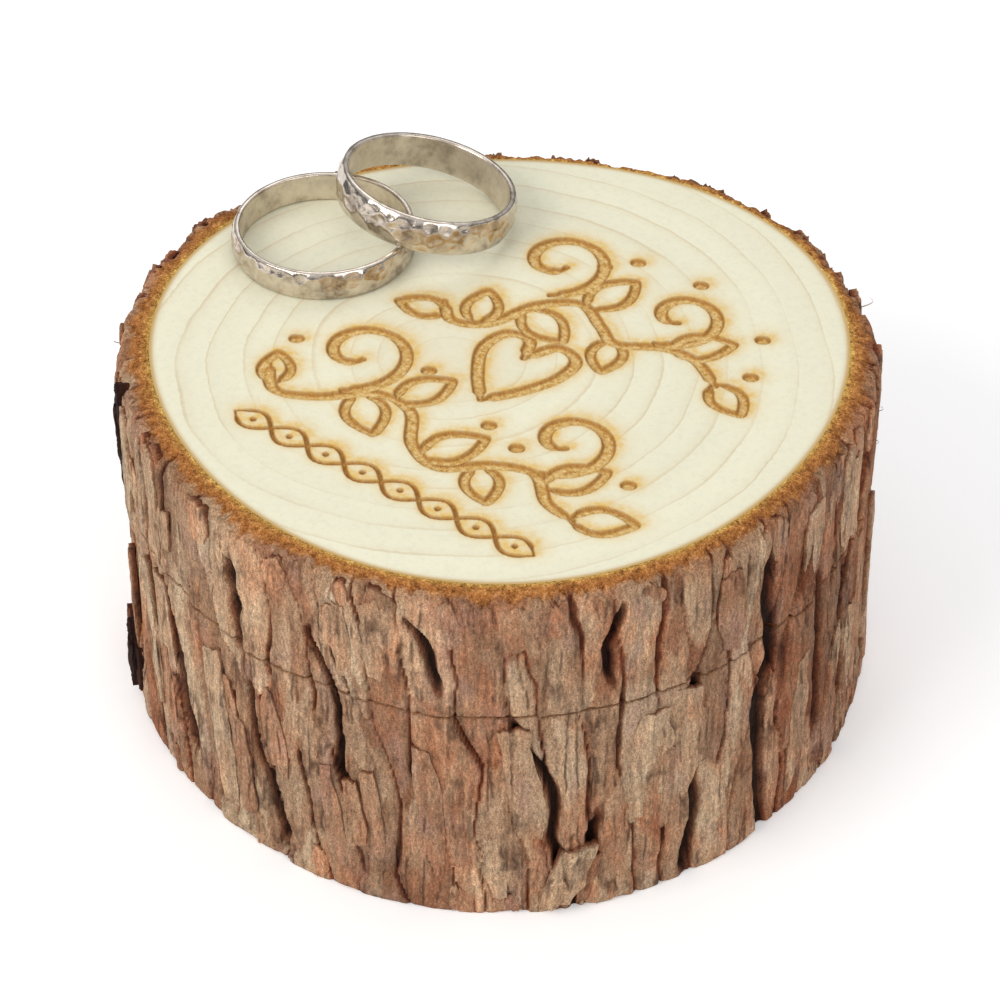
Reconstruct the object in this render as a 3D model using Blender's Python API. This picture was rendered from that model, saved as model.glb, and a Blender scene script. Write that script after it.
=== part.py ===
"""Rustic ring bearer box: a sawn log with its bark on, cut into a base and a swivel lid, with two rings on the lid.

Metres, +Z up. The origin is on the log's axis at the underside. +X runs along the lid's engraved lines, and +Y
points from their foot to their head, where the lid's pivot screw stands. The lid turns about that screw. Small
loose things, the two rings and the washer, keep a hair's gap to what they lie on.
"""

import math

import bmesh
import bpy
from mathutils import Matrix, Vector

# Driving dimensions
WOOD_RADIUS = 0.0400
LOBES = 3  # the log isn't quite round: three soft lobes
LOBE_SHARE = 0.026
LOBE_ANGLE = math.radians(72)
SWELL_SHARE = 0.0155  # one side stands out a little more, which centres the outline's box on the axis
SWELL_ANGLE = math.radians(-40)
TOTAL_HEIGHT = 0.0450
LID_HEIGHT = 0.0160
SEAM_GAP = 0.00025
GAP = 0.0003

# Bark
BARK_DEPTH = 0.0033
BARK_FLARE = 0.0009  # extra depth at the foot of the log
BARK_THIN = 0.0012  # depth lost along the log's thin-barked side
THIN_ANGLE = math.radians(105)
BARK_WORN = 0.0007  # depth lost at the lid's rubbed top edge
FURROW_DEPTH = 0.0011
PLATES = 20
FURROW_LEAN = 28.0  # radians of phase per metre of height
BARK_COLUMNS = 160

# Ring cavity and what lies in it
CAVITY_RADIUS = 0.0260
CAVITY_FLOOR = 0.0070
RIM_CHAMFER = 0.0006
LINER_THICKNESS = 0.0008
CUSHION_HEIGHT = 0.0105
CUSHION_RADIUS = 0.0252
SLOT_WIDTH = 0.0008

# Pivot screw, in the solid wood behind the cavity
PIVOT_Y = 0.0335
SCREW_RADIUS = 0.0020
SCREW_ROOT = 0.0015
SCREW_TIP = 0.0100  # how far it goes into the lid
THREAD_PITCH = 0.0016
HEAD_RADIUS = 0.0038
HEAD_HEIGHT = 0.0024
WASHER_RADIUS = 0.0045
WASHER_THICKNESS = 0.0008
COUNTERBORE_RADIUS = 0.0050
COUNTERBORE_DEPTH = 0.0052
SLOT_CUT = 0.0008  # width of the head's two driver slots

# Catch magnets, opposite the pivot
MAGNET_Y = -0.0330
MAGNET_RADIUS = 0.0030
MAGNET_THICKNESS = 0.0024
MAGNET_SUNK = 0.0002

# Rings: the narrow one lies flat, and the wide one leans on it
RING_GAP = 0.0001
NARROW = {"outer": 0.01100, "wall": 0.0011, "height": 0.0037, "place": (-0.02835, 0.0009)}
WIDE = {"outer": 0.01090, "wall": 0.0012, "height": 0.0043, "place": (-0.0225, 0.01235)}
RING_SEGMENTS = 48

ROUND = 96  # segments of a turned piece
OUTLINE = 128  # segments of the log's outline

BASE_TOP = TOTAL_HEIGHT - LID_HEIGHT - SEAM_GAP / 2
LID_FOOT = TOTAL_HEIGHT - LID_HEIGHT + SEAM_GAP / 2

COLOURS = {
    "wood": ((0.83, 0.75, 0.55), 0.62, 0.0),
    "bark": ((0.23, 0.13, 0.08), 0.95, 0.0),
    "bark_dark": ((0.09, 0.055, 0.035), 0.95, 0.0),
    "felt": ((0.55, 0.47, 0.36), 0.98, 0.0),
    "linen": ((0.72, 0.62, 0.46), 0.95, 0.0),
    "steel": ((0.56, 0.56, 0.58), 0.35, 1.0),
    "nickel": ((0.70, 0.70, 0.72), 0.20, 1.0),
    "silver": ((0.78, 0.75, 0.71), 0.25, 1.0),
}


def clear_scene():
    for old in list(bpy.data.objects):
        bpy.data.objects.remove(old)


def material(name):
    found = bpy.data.materials.get(name)
    if found:
        return found
    colour, roughness, metallic = COLOURS[name]
    made = bpy.data.materials.new(name)
    made.use_nodes = True
    shader = made.node_tree.nodes["Principled BSDF"]
    shader.inputs["Base Color"].default_value = (*colour, 1.0)
    shader.inputs["Roughness"].default_value = roughness
    shader.inputs["Metallic"].default_value = metallic
    return made


def add(name, bm, finish, location=(0, 0, 0), parent=None, smooth_below=None):
    """Makes an object of a bmesh, with its faces pointing out."""
    bmesh.ops.recalc_face_normals(bm, faces=bm.faces)
    mesh = bpy.data.meshes.new(name)
    bm.to_mesh(mesh)
    bm.free()
    if smooth_below:
        mesh.shade_smooth()
        mesh.set_sharp_from_angle(angle=math.radians(smooth_below))
    obj = bpy.data.objects.new(name, mesh)
    obj.location = location
    obj.parent = parent
    if finish:
        obj.data.materials.append(material(finish))
    bpy.context.scene.collection.objects.link(obj)
    return obj


def pivot_empty(name, location, parent=None):
    empty = bpy.data.objects.new(name, None)
    empty.location = location
    empty.parent = parent
    bpy.context.scene.collection.objects.link(empty)
    return empty


def log_radius(angle):
    """The wood's outline, under the bark."""
    lobes = LOBE_SHARE * math.cos(LOBES * (angle - LOBE_ANGLE))
    swell = SWELL_SHARE * math.cos(angle - SWELL_ANGLE)
    return WOOD_RADIUS * (1 + lobes + swell)


def polar(radius, angle, z):
    return Vector((radius * math.cos(angle), radius * math.sin(angle), z))


def loft(loops, capped=True):
    """A bmesh of closed loops of points, joined in order, with an n-gon on each end."""
    bm = bmesh.new()
    rows = [[bm.verts.new(point) for point in loop] for loop in loops]
    count = len(rows[0])
    for low, high in zip(rows, rows[1:]):
        for i in range(count):
            j = (i + 1) % count
            bm.faces.new((low[i], low[j], high[j], high[i]))
    if capped:
        bm.faces.new(rows[0])
        bm.faces.new(rows[-1])
    else:
        for i in range(count):
            j = (i + 1) % count
            bm.faces.new((rows[-1][i], rows[-1][j], rows[0][j], rows[0][i]))
    return bm


def turned(profile, segments=ROUND):
    """A bmesh of revolution about Z. The profile is (radius, z) pairs, and its ends are closed with discs."""
    angles = [math.tau * i / segments for i in range(segments)]
    return loft([[polar(r, a, z) for a in angles] for r, z in profile])


def turned_ring(profile, segments=ROUND):
    """A bmesh of revolution about Z, of a closed profile that stays off the axis."""
    angles = [math.tau * i / segments for i in range(segments)]
    return loft([[polar(r, a, z) for a in angles] for r, z in profile], capped=False)


def cut(obj, name, bm, location):
    """Cuts a bmesh out of an object. The cutter stays in the file as a helper."""
    cutter = add(name, bm, None, location)
    cutter.hide_render = True
    cutter.display_type = "WIRE"
    modifier = obj.modifiers.new(name, "BOOLEAN")
    modifier.operation = "DIFFERENCE"
    modifier.solver = "EXACT"
    modifier.object = cutter


# Log


def log_slice(name, low, high, parent=None):
    angles = [math.tau * i / OUTLINE for i in range(OUTLINE)]
    loops = [[polar(log_radius(a), a, z) for a in angles] for z in (low, high)]
    return add(name, loft(loops), "wood", parent=parent)


def bark_depth(angle, z):
    """How thick the bark is: flat plates between furrows that lean as they climb, deeper towards the foot."""
    phase = PLATES * angle + FURROW_LEAN * z + 0.9 * math.sin(3 * angle) + 0.5 * math.sin(7 * angle)
    furrow = FURROW_DEPTH * max(0.0, math.cos(phase)) ** 5
    ripple = 0.0003 * math.sin(5 * angle + 160 * z)
    flare = BARK_FLARE * (1 - z / TOTAL_HEIGHT) ** 2
    worn = BARK_WORN * max(0.0, (z - TOTAL_HEIGHT) / 0.0025 + 1) ** 2
    thin = BARK_THIN * max(0.0, math.cos(angle - THIN_ANGLE)) ** 2
    return BARK_DEPTH + ripple + flare - furrow - worn - thin


def bark_shell(name, heights):
    """The bark all round one slice: an outer wall with its plates, and an inner wall on the wood's outline."""
    angles = [math.tau * i / BARK_COLUMNS for i in range(BARK_COLUMNS)]
    inner = [[polar(log_radius(a) + GAP, a, z) for a in angles] for z in (heights[-1], heights[0])]
    outer = [[polar(log_radius(a) + bark_depth(a, z), a, z) for a in angles] for z in heights]
    return add(name, loft(outer + inner, capped=False), "bark", smooth_below=40)


def bark_slab(name, finish, angle, columns, low, high, thickness, ragged):
    """A loose plate a hair off the bark behind it, with a ragged head and foot. It spans whole bark columns."""
    pitch = math.tau / BARK_COLUMNS
    first = round(angle / pitch - columns / 2)
    levels = [low + (high - low) * step / 6 for step in range(7)]
    bm = bmesh.new()
    rows = []
    for i in range(columns + 1):
        a = (first + i) * pitch
        behind = log_radius(a) + max(bark_depth(a, z) for z in levels) + GAP
        edge = abs(2 * i / columns - 1)
        top = high - ragged * (0.5 + 0.5 * math.sin(2.7 * i + 1.0))
        foot = low + ragged * (0.5 + 0.5 * math.sin(3.9 * i))
        face = behind + thickness * (1 - 0.55 * edge**2)
        corners = ((behind, foot), (behind, top), (face, top), (face, foot))
        rows.append([bm.verts.new(polar(r, a, z)) for r, z in corners])
    for left, right in zip(rows, rows[1:]):
        for i in range(4):
            j = (i + 1) % 4
            bm.faces.new((left[i], left[j], right[j], right[i]))
    bm.faces.new(rows[0])
    bm.faces.new(rows[-1])
    return add(name, bm, finish)


# Base


def base():
    wood = log_slice("base_wood", 0.0, BASE_TOP)
    mouth = CAVITY_RADIUS + RIM_CHAMFER
    above = BASE_TOP + 0.002
    cavity = [
        (CAVITY_RADIUS, CAVITY_FLOOR),
        (CAVITY_RADIUS, BASE_TOP - RIM_CHAMFER),
        (mouth, BASE_TOP),
        (mouth, above),
    ]
    cut(wood, "cavity_cutter", turned(cavity), (0, 0, 0))
    hole = SCREW_RADIUS + GAP
    pivot = [
        (COUNTERBORE_RADIUS, -0.002),
        (COUNTERBORE_RADIUS, COUNTERBORE_DEPTH),
        (hole, COUNTERBORE_DEPTH),
        (hole, above),
    ]
    cut(wood, "base_pivot_cutter", turned(pivot, 48), (0, PIVOT_Y, 0))
    pocket_floor = BASE_TOP - MAGNET_SUNK - MAGNET_THICKNESS - GAP
    pocket = [(MAGNET_RADIUS + GAP, pocket_floor), (MAGNET_RADIUS + GAP, above)]
    cut(wood, "base_magnet_cutter", turned(pocket, 48), (0, MAGNET_Y, 0))
    bark_shell("base_bark", [BASE_TOP * share for share in (0.0, 0.25, 0.5, 0.75, 1.0)])
    bark_slab("base_bark_slab", "bark_dark", math.radians(232), 3, 0.0012, 0.0122, 0.0010, 0.0012)
    bark_slab("base_bark_chip", "bark", math.radians(-38), 4, 0.0004, 0.0098, 0.0011, 0.0009)


def catch_magnet(name, foot):
    edge = 0.0002
    profile = [
        (MAGNET_RADIUS - edge, 0.0),
        (MAGNET_RADIUS, edge),
        (MAGNET_RADIUS, MAGNET_THICKNESS - edge),
        (MAGNET_RADIUS - edge, MAGNET_THICKNESS),
    ]
    add(name, turned(profile, 48), "nickel", (0, MAGNET_Y, foot), smooth_below=30)


def half_disc(inset, z, side):
    """One cushion's outline: half the cavity's disc on one side of the ring slot, drawn in by inset."""
    radius = CUSHION_RADIUS - inset
    flat = SLOT_WIDTH / 2 + inset
    reach = math.asin(flat / radius)
    steps = 28
    angles = [reach + (math.pi - 2 * reach) * i / steps for i in range(steps + 1)]
    return [polar(radius, side * a, z) for a in angles]


def cushions():
    """Two half-round pads side by side, with the slot between them that grips the rings."""
    foot = CAVITY_FLOOR + LINER_THICKNESS + 2 * GAP
    layers = ((0.0, 0.0010), (0.12, 0.0), (0.62, 0.0), (0.82, 0.0009), (0.95, 0.0024), (1.0, 0.0044))
    for name, side in (("cushion_back", 1), ("cushion_front", -1)):
        loops = [half_disc(inset, foot + CUSHION_HEIGHT * share, side) for share, inset in layers]
        add(name, loft(loops), "linen", smooth_below=40)


def liner():
    radius = CAVITY_RADIUS - 2 * GAP
    foot = CAVITY_FLOOR + GAP
    add("felt_liner", turned([(radius, foot), (radius, foot + LINER_THICKNESS)]), "felt")


# Lid and its pivot


def lid(pivot):
    """The lid's pieces hang from the pivot's empty, which stands on the joint's axis."""
    wood = log_slice("lid_wood", LID_FOOT, TOTAL_HEIGHT)
    hole = SCREW_RADIUS + GAP
    below = LID_FOOT - 0.002
    bore = [(hole, below), (hole, LID_FOOT + SCREW_TIP + GAP)]
    cut(wood, "lid_pivot_cutter", turned(bore, 48), (0, PIVOT_Y, 0))
    pocket_roof = LID_FOOT + MAGNET_SUNK + MAGNET_THICKNESS + GAP
    pocket = [(MAGNET_RADIUS + GAP, below), (MAGNET_RADIUS + GAP, pocket_roof)]
    cut(wood, "lid_magnet_cutter", turned(pocket, 48), (0, MAGNET_Y, 0))
    heights = [LID_FOOT + (TOTAL_HEIGHT - LID_FOOT) * share for share in (0.0, 0.4, 0.75, 0.9, 1.0)]
    bark = bark_shell("lid_bark", heights)
    slab_foot, slab_head = LID_FOOT + 0.0012, TOTAL_HEIGHT - 0.0004
    slab = bark_slab("lid_bark_slab", "bark_dark", math.radians(230), 4, slab_foot, slab_head, 0.0010, 0.0014)
    for piece in (wood, bark, slab):
        hang(piece, pivot)


def hang(piece, pivot):
    """Parents a piece to an empty without moving it."""
    piece.parent = pivot
    piece.matrix_parent_inverse = Matrix.Translation(pivot.location).inverted()


def pivot_washer():
    inner = SCREW_RADIUS + GAP
    foot = COUNTERBORE_DEPTH - RING_GAP - WASHER_THICKNESS
    profile = [(inner, 0), (WASHER_RADIUS, 0), (WASHER_RADIUS, WASHER_THICKNESS), (inner, WASHER_THICKNESS)]
    add("pivot_washer", turned_ring(profile, 48), "steel", (0, PIVOT_Y, foot), smooth_below=30)


def pivot_screw(pivot):
    """A pan-head screw from below: a plain shank through the base, and a thread in the lid."""
    seat = COUNTERBORE_DEPTH - 2 * RING_GAP - WASHER_THICKNESS
    tip = LID_FOOT + SCREW_TIP
    dome = ((0.62, 0.0), (0.88, 0.18), (1.0, 0.5), (1.0, 1.0))
    profile = [(HEAD_RADIUS * r, seat - HEAD_HEIGHT * (1 - h)) for r, h in dome]
    profile += [(SCREW_RADIUS, seat), (SCREW_RADIUS, LID_FOOT - 0.0008)]
    turns = int((tip - LID_FOOT - 0.0016) / THREAD_PITCH)
    for i in range(turns):
        root = LID_FOOT + THREAD_PITCH * i
        profile += [(SCREW_ROOT, root), (SCREW_RADIUS, root + THREAD_PITCH * 0.55)]
    profile += [(SCREW_ROOT, LID_FOOT + THREAD_PITCH * turns), (0.0003, tip)]
    screw = add("pivot_screw", turned(profile, 36), "steel", (0, PIVOT_Y, 0), smooth_below=35)
    bottom = seat - HEAD_HEIGHT
    for name, turn in (("driver_slot_a", 0.0), ("driver_slot_b", math.pi / 2)):
        blade = bmesh.new()
        size = Matrix.Diagonal((HEAD_RADIUS * 1.1, SLOT_CUT, 0.0024, 1))
        bmesh.ops.create_cube(blade, size=1.0, matrix=Matrix.Rotation(turn, 4, "Z") @ size)
        cut(screw, name, blade, (0, PIVOT_Y, bottom))
    hang(screw, pivot)


# Rings


def ring_profile(ring):
    """A band with a domed outside and eased edges."""
    outer, inner, half = ring["outer"], ring["outer"] - ring["wall"], ring["height"] / 2
    ease = 0.00022
    crown = 0.00028
    return [
        (inner, -half + ease),
        (inner + ease, -half),
        (outer - crown - ease, -half),
        (outer - crown * 0.6, -half + ease * 1.4),
        (outer, -half * 0.25),
        (outer, half * 0.25),
        (outer - crown * 0.6, half - ease * 1.4),
        (outer - crown - ease, half),
        (inner + ease, half),
        (inner, half - ease),
    ]


def lean_of_wide_ring():
    """(heading, tilt) of the wide ring, whose far side lies on the lid and whose near side rests on the narrow one."""
    apart = Vector(WIDE["place"]) - Vector(NARROW["place"])
    inner = WIDE["outer"] - WIDE["wall"]
    crossing = (apart.length_squared + inner**2 - NARROW["outer"] ** 2) / (2 * apart.length)
    rise = NARROW["height"] + 2 * RING_GAP
    return math.atan2(apart.y, apart.x), math.atan2(rise, WIDE["outer"] + crossing)


def rings(pivot):
    heading, tilt = lean_of_wide_ring()
    flat = TOTAL_HEIGHT + RING_GAP + NARROW["height"] / 2
    narrow = add("ring_narrow", turned_ring(ring_profile(NARROW), RING_SEGMENTS), "silver", smooth_below=40)
    narrow.location = (*NARROW["place"], flat)
    reach = WIDE["outer"] * math.sin(tilt) + WIDE["height"] / 2 * math.cos(tilt)
    wide = add("ring_wide", turned_ring(ring_profile(WIDE), RING_SEGMENTS), "silver", smooth_below=40)
    wide.location = (*WIDE["place"], TOTAL_HEIGHT + RING_GAP + reach)
    level = Vector((-math.sin(heading), math.cos(heading), 0))
    wide.rotation_mode = "QUATERNION"
    wide.rotation_quaternion = Matrix.Rotation(tilt, 3, level).to_quaternion()
    for ring in (narrow, wide):
        hang(ring, pivot)


def main():
    clear_scene()
    base()
    liner()
    cushions()
    catch_magnet("base_magnet", BASE_TOP - MAGNET_SUNK - MAGNET_THICKNESS)
    catch_magnet("lid_magnet", LID_FOOT + MAGNET_SUNK)
    pivot_washer()
    pivot = pivot_empty("lid_pivot", (0, PIVOT_Y, LID_FOOT))
    lid(pivot)
    hang(bpy.data.objects["lid_magnet"], pivot)
    pivot_screw(pivot)
    rings(pivot)


main()
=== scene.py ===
"""Looks of the rustic ring bearer box: bark, sawn wood, engraving, bands, cushions, liner and fittings.

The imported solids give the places. Lengths are in millimetres, and MM turns them into metres. The camera, the
lights and what the materials measure are in metres.
"""

import math

import bmesh
import bpy
import numpy as np
from mathutils import Matrix, Vector
from mathutils.geometry import delaunay_2d_cdt


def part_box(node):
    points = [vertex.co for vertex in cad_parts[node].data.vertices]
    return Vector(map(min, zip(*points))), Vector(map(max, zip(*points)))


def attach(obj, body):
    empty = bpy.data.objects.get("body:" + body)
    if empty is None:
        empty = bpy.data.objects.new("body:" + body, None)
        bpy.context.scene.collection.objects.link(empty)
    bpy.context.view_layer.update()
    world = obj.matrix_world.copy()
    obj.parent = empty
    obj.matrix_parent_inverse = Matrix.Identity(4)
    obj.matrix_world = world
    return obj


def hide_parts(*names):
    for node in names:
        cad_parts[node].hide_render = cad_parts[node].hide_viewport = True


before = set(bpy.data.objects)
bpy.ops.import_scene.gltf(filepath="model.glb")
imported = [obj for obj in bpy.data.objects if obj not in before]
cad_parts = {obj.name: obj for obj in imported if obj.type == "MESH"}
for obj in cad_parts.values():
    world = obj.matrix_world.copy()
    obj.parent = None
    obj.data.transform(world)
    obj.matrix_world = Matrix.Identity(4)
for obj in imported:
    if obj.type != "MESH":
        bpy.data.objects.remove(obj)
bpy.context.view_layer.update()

MM = 0.001
TAU = math.tau

# The log, as in the solids
WOOD_RADIUS = 40.0
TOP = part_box("lid_wood")[1].z / MM
LID_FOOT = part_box("lid_wood")[0].z / MM
BASE_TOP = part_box("base_wood")[1].z / MM
PIVOT_Y = (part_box("pivot_washer")[0].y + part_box("pivot_washer")[1].y) / 2 / MM
MAGNET_Y = (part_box("base_magnet")[0].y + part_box("base_magnet")[1].y) / 2 / MM
CAVITY_RADIUS = 26.0
CAVITY_FLOOR = 7.0

VIEW_TURN = math.radians(41.7)
VIEW_RISE = math.radians(36.82)
VIEW_DISTANCE = 0.420
# How far the camera looks below its aim, and its lens in mm
VIEW_DROP = math.radians(2.32)
LENS = 132.66
SENSOR = 36.0
AIM = Vector((0.0005, -0.0004, TOP * MM))

# Name, degrees round from the camera, degrees up, distance and size in m, watts, colour
LIGHTS = (
    ("key", -52, 34, 0.9, 0.55, 4.3, (1.0, 0.985, 0.95)),
    ("fill", 30, 26, 1.0, 0.6, 2.7, (1.0, 0.985, 0.97)),
    ("back", 175, 50, 0.9, 0.5, 1.0, (1.0, 1.0, 1.0)),
)
# Height on the sky, from 0 below to 1 above, and its grey
SKY = ((0.0, 0.10), (0.16, 0.16), (0.42, 0.80), (0.80, 1.0))
SKY_STRENGTH = 0.72
FLOOR_RADIUS = 8.0
FLOOR_DROP = -0.06


def log_radius(angle):
    """The wood's outline, in mm."""
    lobes = 0.026 * np.cos(3 * (angle - math.radians(72)))
    swell = 0.0155 * np.cos(angle - math.radians(-40))
    return WOOD_RADIUS * (1 + lobes + swell)


# Camera, lights and floor


def camera():
    back = Vector((math.sin(VIEW_TURN), -math.cos(VIEW_TURN), 0)) * math.cos(VIEW_RISE)
    place = AIM + (back + Vector((0, 0, math.sin(VIEW_RISE)))) * VIEW_DISTANCE
    ahead = (AIM - place).normalized()
    right = ahead.cross(Vector((0, 0, 1))).normalized()
    up = right.cross(ahead)
    cosine, sine = math.cos(VIEW_DROP), math.sin(VIEW_DROP)
    ahead, up = ahead * cosine - up * sine, up * cosine + ahead * sine
    data = bpy.data.cameras.new("camera")
    data.lens = LENS
    data.sensor_width = SENSOR
    data.clip_start = 0.02
    data.clip_end = 10
    obj = bpy.data.objects.new("camera", data)
    obj.matrix_world = Matrix.Translation(place) @ Matrix((right, up, -ahead)).transposed().to_4x4()
    bpy.context.scene.collection.objects.link(obj)
    bpy.context.scene.camera = obj


def area_light(name, turn, rise, distance, size, power, colour):
    """A square soft light that looks at the object. turn is from -Y, anticlockwise from above."""
    data = bpy.data.lights.new(name, "AREA")
    data.size = size
    data.energy = power
    data.color = colour
    obj = bpy.data.objects.new(name, data)
    way = Vector((math.sin(turn) * math.cos(rise), -math.cos(turn) * math.cos(rise), math.sin(rise)))
    obj.location = way * distance + Vector((0, 0, 0.03))
    obj.rotation_euler = (-way).to_track_quat("-Z", "Y").to_euler()
    bpy.context.scene.collection.objects.link(obj)


def studio():
    scene = bpy.context.scene
    scene.view_settings.view_transform = "Standard"
    world = bpy.data.worlds.new("studio")
    scene.world = world
    world.use_nodes = True
    tree = world.node_tree
    background = tree.nodes["Background"]
    coord = tree.nodes.new("ShaderNodeTexCoord")
    split = tree.nodes.new("ShaderNodeSeparateXYZ")
    ramp = tree.nodes.new("ShaderNodeValToRGB")
    tree.links.new(coord.outputs["Generated"], split.inputs[0])
    tree.links.new(split.outputs["Z"], ramp.inputs[0])
    tree.links.new(ramp.outputs[0], background.inputs["Color"])
    stops = ramp.color_ramp.elements
    stops.new(0.5)
    stops.new(0.5)
    for stop, (position, grey) in zip(stops, SKY):
        stop.position = position
        stop.color = (grey, grey, grey * 1.01, 1)
    background.inputs["Strength"].default_value = SKY_STRENGTH
    for name, turn, rise, distance, size, power, colour in LIGHTS:
        area_light(name, VIEW_TURN + math.radians(turn), math.radians(rise), distance, size, power, colour)
    bm = bmesh.new()
    bmesh.ops.create_circle(bm, cap_ends=True, radius=FLOOR_RADIUS, segments=96)
    mesh = bpy.data.meshes.new("floor")
    bm.to_mesh(mesh)
    bm.free()
    floor = bpy.data.objects.new("floor", mesh)
    floor.location.z = FLOOR_DROP * MM
    scene.collection.objects.link(floor)
    white = Nodes("floor_white")
    glow = {"Emission_Color": (1, 1, 1, 1), "Emission_Strength": 0.20}
    floor.data.materials.append(white.finish((0.93, 0.93, 0.935, 1), 0.7, **glow))


# Node helpers


class Nodes:
    """Short calls for building one material."""

    def __init__(self, name):
        self.material = bpy.data.materials.new(name)
        self.material.use_nodes = True
        self.tree = self.material.node_tree
        self.shader = self.tree.nodes["Principled BSDF"]

    def put(self, socket, value):
        if isinstance(value, bpy.types.NodeSocket):
            self.tree.links.new(value, socket)
        elif value is not None:
            socket.default_value = value

    def place(self):
        return self.tree.nodes.new("ShaderNodeTexCoord").outputs["Object"]

    def scaled(self, vector, scale, shift=(0, 0, 0)):
        node = self.tree.nodes.new("ShaderNodeMapping")
        self.put(node.inputs["Vector"], vector)
        node.inputs["Scale"].default_value = scale
        node.inputs["Location"].default_value = shift
        return node.outputs[0]

    def noise(self, vector, scale, detail=3.0, rough=0.55, colour=False, distortion=0.0):
        node = self.tree.nodes.new("ShaderNodeTexNoise")
        self.put(node.inputs["Vector"], vector)
        node.inputs["Scale"].default_value = scale
        node.inputs["Detail"].default_value = detail
        node.inputs["Roughness"].default_value = rough
        node.inputs["Distortion"].default_value = distortion
        return node.outputs["Color" if colour else "Fac"]

    def cells(self, vector, scale, feature="F1"):
        node = self.tree.nodes.new("ShaderNodeTexVoronoi")
        node.feature = feature
        self.put(node.inputs["Vector"], vector)
        node.inputs["Scale"].default_value = scale
        return node.outputs["Distance"]

    def attribute(self, name):
        node = self.tree.nodes.new("ShaderNodeAttribute")
        node.attribute_name = name
        return node.outputs["Fac"]

    def math(self, operation, a, b=None, clamp=False):
        node = self.tree.nodes.new("ShaderNodeMath")
        node.operation = operation
        node.use_clamp = clamp
        self.put(node.inputs[0], a)
        self.put(node.inputs[1], b)
        return node.outputs[0]

    def plus(self, a, b):
        return self.math("ADD", a, b)

    def times(self, a, b):
        return self.math("MULTIPLY", a, b)

    def vector(self, operation, a, b=None, scale=None):
        node = self.tree.nodes.new("ShaderNodeVectorMath")
        node.operation = operation
        self.put(node.inputs[0], a)
        self.put(node.inputs[1], b)
        if scale is not None:
            self.put(node.inputs["Scale"], scale)
        return node.outputs["Value" if operation in ("LENGTH", "DOT_PRODUCT") else "Vector"]

    def ramp(self, value, *stops, smooth=False):
        """Stops are (position, colour or grey)."""
        node = self.tree.nodes.new("ShaderNodeValToRGB")
        node.color_ramp.interpolation = "EASE" if smooth else "LINEAR"
        elements = node.color_ramp.elements
        while len(elements) < len(stops):
            elements.new(0.5)
        for element, (position, colour) in zip(elements, stops):
            element.position = position
            grey = isinstance(colour, (int, float))
            element.color = (colour, colour, colour, 1) if grey else (*colour, 1)
        self.put(node.inputs[0], value)
        return node.outputs[0]

    def mix(self, amount, a, b, blend="MIX"):
        node = self.tree.nodes.new("ShaderNodeMix")
        node.data_type = "RGBA"
        node.blend_type = blend
        self.put(node.inputs[0], amount)
        self.put(node.inputs[6], (*a, 1) if isinstance(a, tuple) else a)
        self.put(node.inputs[7], (*b, 1) if isinstance(b, tuple) else b)
        return node.outputs[2]

    def split(self, vector):
        node = self.tree.nodes.new("ShaderNodeSeparateXYZ")
        self.put(node.inputs[0], vector)
        return node.outputs

    def join(self, x, y, z):
        node = self.tree.nodes.new("ShaderNodeCombineXYZ")
        for socket, value in zip(node.inputs, (x, y, z)):
            self.put(socket, value)
        return node.outputs[0]

    def bump(self, height, distance, strength):
        node = self.tree.nodes.new("ShaderNodeBump")
        node.inputs["Strength"].default_value = strength
        node.inputs["Distance"].default_value = distance
        self.put(node.inputs["Height"], height)
        return node.outputs[0]

    def finish(self, colour=None, roughness=None, normal=None, metallic=None, **others):
        self.put(self.shader.inputs["Base Color"], colour)
        self.put(self.shader.inputs["Roughness"], roughness)
        self.put(self.shader.inputs["Normal"], normal)
        self.put(self.shader.inputs["Metallic"], metallic)
        for name, value in others.items():
            self.put(self.shader.inputs[name.replace("_", " ")], value)
        return self.material


# Mesh helpers


def link(name, mesh, body, material, replaces=(), smooth=True):
    obj = bpy.data.objects.new(name, mesh)
    bpy.context.scene.collection.objects.link(obj)
    if smooth:
        mesh.shade_smooth()
    mesh.materials.append(material)
    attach(obj, body)
    if replaces:
        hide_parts(*replaces)
    return obj


def grid_mesh(name, points):
    """A mesh, closed both ways, of a rows x columns x 3 array of points in mm."""
    rows, columns = points.shape[:2]
    index = np.arange(rows * columns).reshape(rows, columns)
    down = np.roll(index, -1, 0)
    across = np.roll(index, -1, 1)
    both = np.roll(down, -1, 1)
    quads = np.stack((index, across, both, down), -1)
    mesh = bpy.data.meshes.new(name)
    mesh.from_pydata((points.reshape(-1, 3) * MM).tolist(), [], quads.reshape(-1, 4).tolist())
    return mesh


def point_values(mesh, name, values):
    attribute = mesh.attributes.new(name, "FLOAT", "POINT")
    attribute.data.foreach_set("value", np.asarray(values, np.float32).ravel())


def face_out(mesh):
    bm = bmesh.new()
    bm.from_mesh(mesh)
    bmesh.ops.recalc_face_normals(bm, faces=bm.faces)
    bm.to_mesh(mesh)
    bm.free()


def ease(x, low, high):
    t = np.clip((x - low) / (high - low), 0, 1)
    return t * t * (3 - 2 * t)


# Noise on the log's side: u is the share of the way round, and v the height in mm


NOISE_ROWS = 160


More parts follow.
